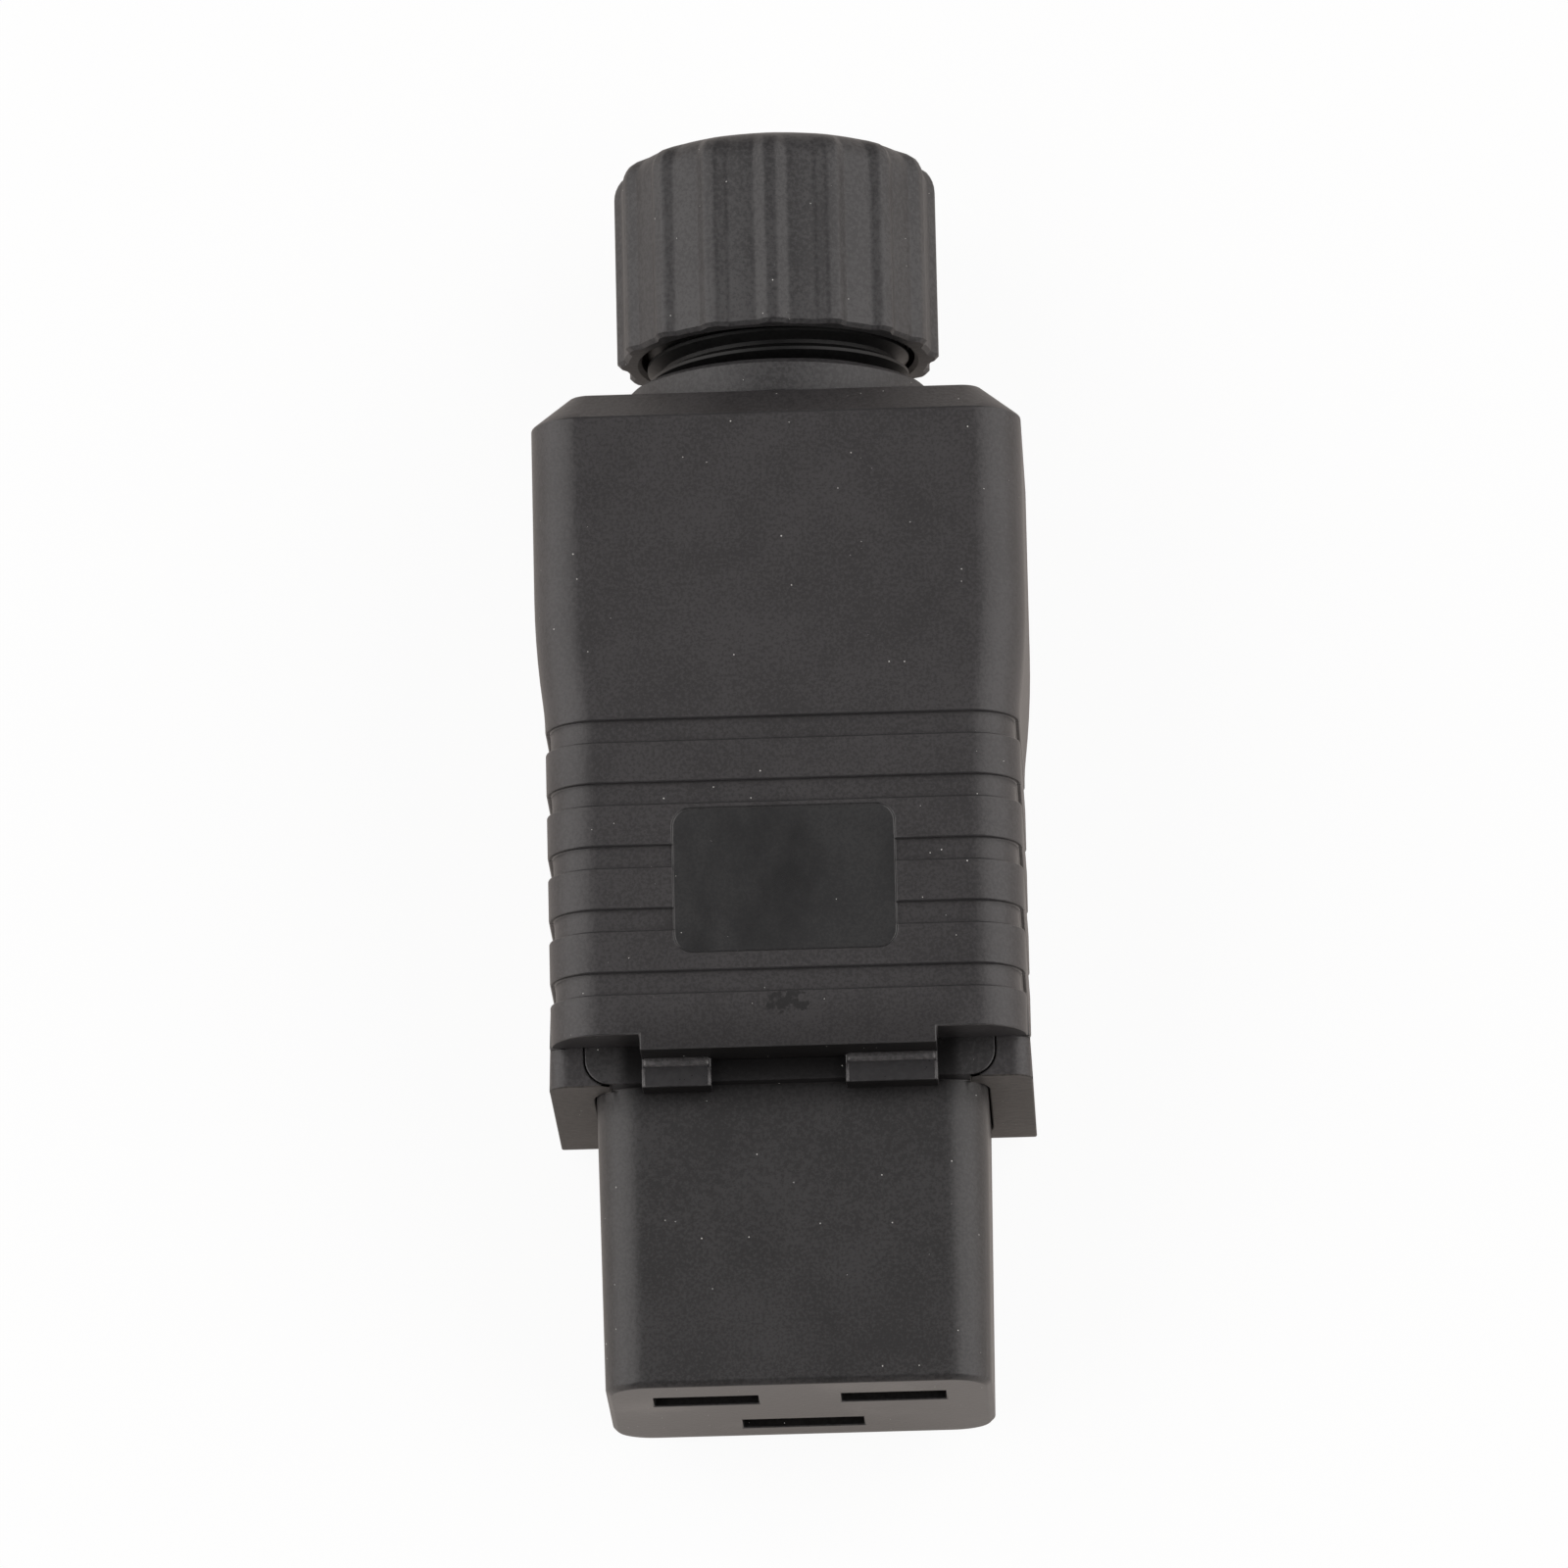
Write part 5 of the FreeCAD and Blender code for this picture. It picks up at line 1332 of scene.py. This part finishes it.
def floor_finish():
    material = bpy.data.materials.new("white_sweep")
    material.use_nodes = True
    tree = material.node_tree
    tree.nodes.clear()
    matt = add_node(tree, "ShaderNodeBsdfDiffuse")
    matt.inputs["Color"].default_value = MATT
    rays = add_node(tree, "ShaderNodeLightPath").outputs
    glow = add_node(tree, "ShaderNodeEmission")
    glow.inputs["Strength"].default_value = 1.0
    tint = colour_mix(tree, rays["Is Glossy Ray"], WHITE, WARM)
    feed(tree, glow.inputs["Color"], tint)
    clear = maths(tree, "MAXIMUM", rays["Is Camera Ray"], rays["Is Transmission Ray"])
    seen = maths(tree, "MULTIPLY", clear, SEEN_SHARE)
    reflected = maths(tree, "MULTIPLY", rays["Is Glossy Ray"], REFLECTED_SHARE)
    blend = add_node(tree, "ShaderNodeMixShader")
    feed(tree, blend.inputs[0], maths(tree, "MAXIMUM", seen, reflected))
    feed(tree, blend.inputs[1], matt.outputs[0])
    feed(tree, blend.inputs[2], glow.outputs[0])
    output = add_node(tree, "ShaderNodeOutputMaterial")
    feed(tree, output.inputs[0], blend.outputs[0])
    return material


# %% Lay the floor
FLOOR_HALF = 3.0
FLOOR_DROP = 0.02 * MM
corners = [(x * FLOOR_HALF, y * FLOOR_HALF, 0) for x, y in ((-1, -1), (1, -1), (1, 1), (-1, 1))]
floor_mesh = bpy.data.meshes.new("floor")
floor_mesh.from_pydata(corners, [], [(0, 1, 2, 3)])
floor_mesh.materials.append(floor_finish())
floor = bpy.data.objects.new("floor", floor_mesh)
floor.location.z = -FLOOR_DROP
bpy.context.scene.collection.objects.link(floor)
print("floor side:", 2 * FLOOR_HALF, "m")

# %% [markdown]
# ## Studio light
# The connector lies between two tall pale walls of light, so its sides and round
# long edges are pale. Above it there is little but a weak panel, so the flat top
# stays dark. The change from pale to dark draws the edge where the round side begins.


# %% World
SKY_STRENGTH = 0.1
world = bpy.data.worlds.new("studio")
bpy.context.scene.world = world
world.use_nodes = True
sky = next(node for node in world.node_tree.nodes if node.type == "BACKGROUND")
sky.inputs["Color"].default_value = WHITE
sky.inputs["Strength"].default_value = SKY_STRENGTH
bpy.context.scene.view_settings.view_transform = "Standard"
print("world strength:", SKY_STRENGTH)


# %% Lamps
def soft_box(name, place, aim, width, height, power, colour):
    lamp = bpy.data.lights.new(name, "AREA")
    lamp.shape = "RECTANGLE"
    lamp.size = width
    lamp.size_y = height
    lamp.energy = power
    lamp.color = colour
    holder = bpy.data.objects.new(name, lamp)
    bpy.context.scene.collection.objects.link(holder)
    holder.location = place
    holder.rotation_euler = (Vector(aim) - Vector(place)).to_track_quat("-Z", "Y").to_euler()
    print(name, "gives", power, "W")


WALL_SIDE = 0.5
WALL_HEIGHT = 0.585
for name, side in (("left_wall", -1), ("right_wall", 1)):
    soft_box(
        name,
        place=(side * WALL_SIDE, 0, WALL_HEIGHT),
        aim=(0, 0, WALL_HEIGHT),
        width=1.2,
        height=1.15,
        power=8.6,
        colour=(1.0, 0.965, 0.95),
    )
soft_box(
    "top_panel",
    place=(0, 0.3, 1.4),
    aim=(0, 0, 0.013),
    width=0.9,
    height=0.9,
    power=0.9,
    colour=(1.0, 0.97, 1.0),
)

# %% [markdown]
# ## Camera
# A long lens looks down on the connector, tilted towards the nose. Its frame is
# built from three directions, because a small roll about the line of sight is hard
# to reach with ordinary turns.

# %% Camera
TILT = math.radians(13.9)
LEAN = math.radians(1.5)
ROLL = math.radians(1.27)
DISTANCE = 1.2
LENS = 362.5
SENSOR = 36
FARTHEST = 20
target = Vector((-0.26 * MM, -0.25 * MM, 13 * MM))
backward = Vector((math.sin(LEAN), -math.sin(TILT) * math.cos(LEAN), math.cos(TILT) * math.cos(LEAN)))
level = Vector((0, 1, 0)).cross(backward).normalized()
upright = backward.cross(level)
view_right = level * math.cos(ROLL) - upright * math.sin(ROLL)
view_up = level * math.sin(ROLL) + upright * math.cos(ROLL)
lens = bpy.data.cameras.new("camera")
lens.lens = LENS
lens.sensor_width = SENSOR
lens.clip_end = FARTHEST
camera = bpy.data.objects.new("camera", lens)
bpy.context.scene.collection.objects.link(camera)
turn = Matrix((view_right, view_up, backward)).transposed().to_4x4()
camera.matrix_world = Matrix.Translation(target + backward * DISTANCE) @ turn
bpy.context.scene.camera = camera
print("camera at", [round(value, 3) for value in camera.location])
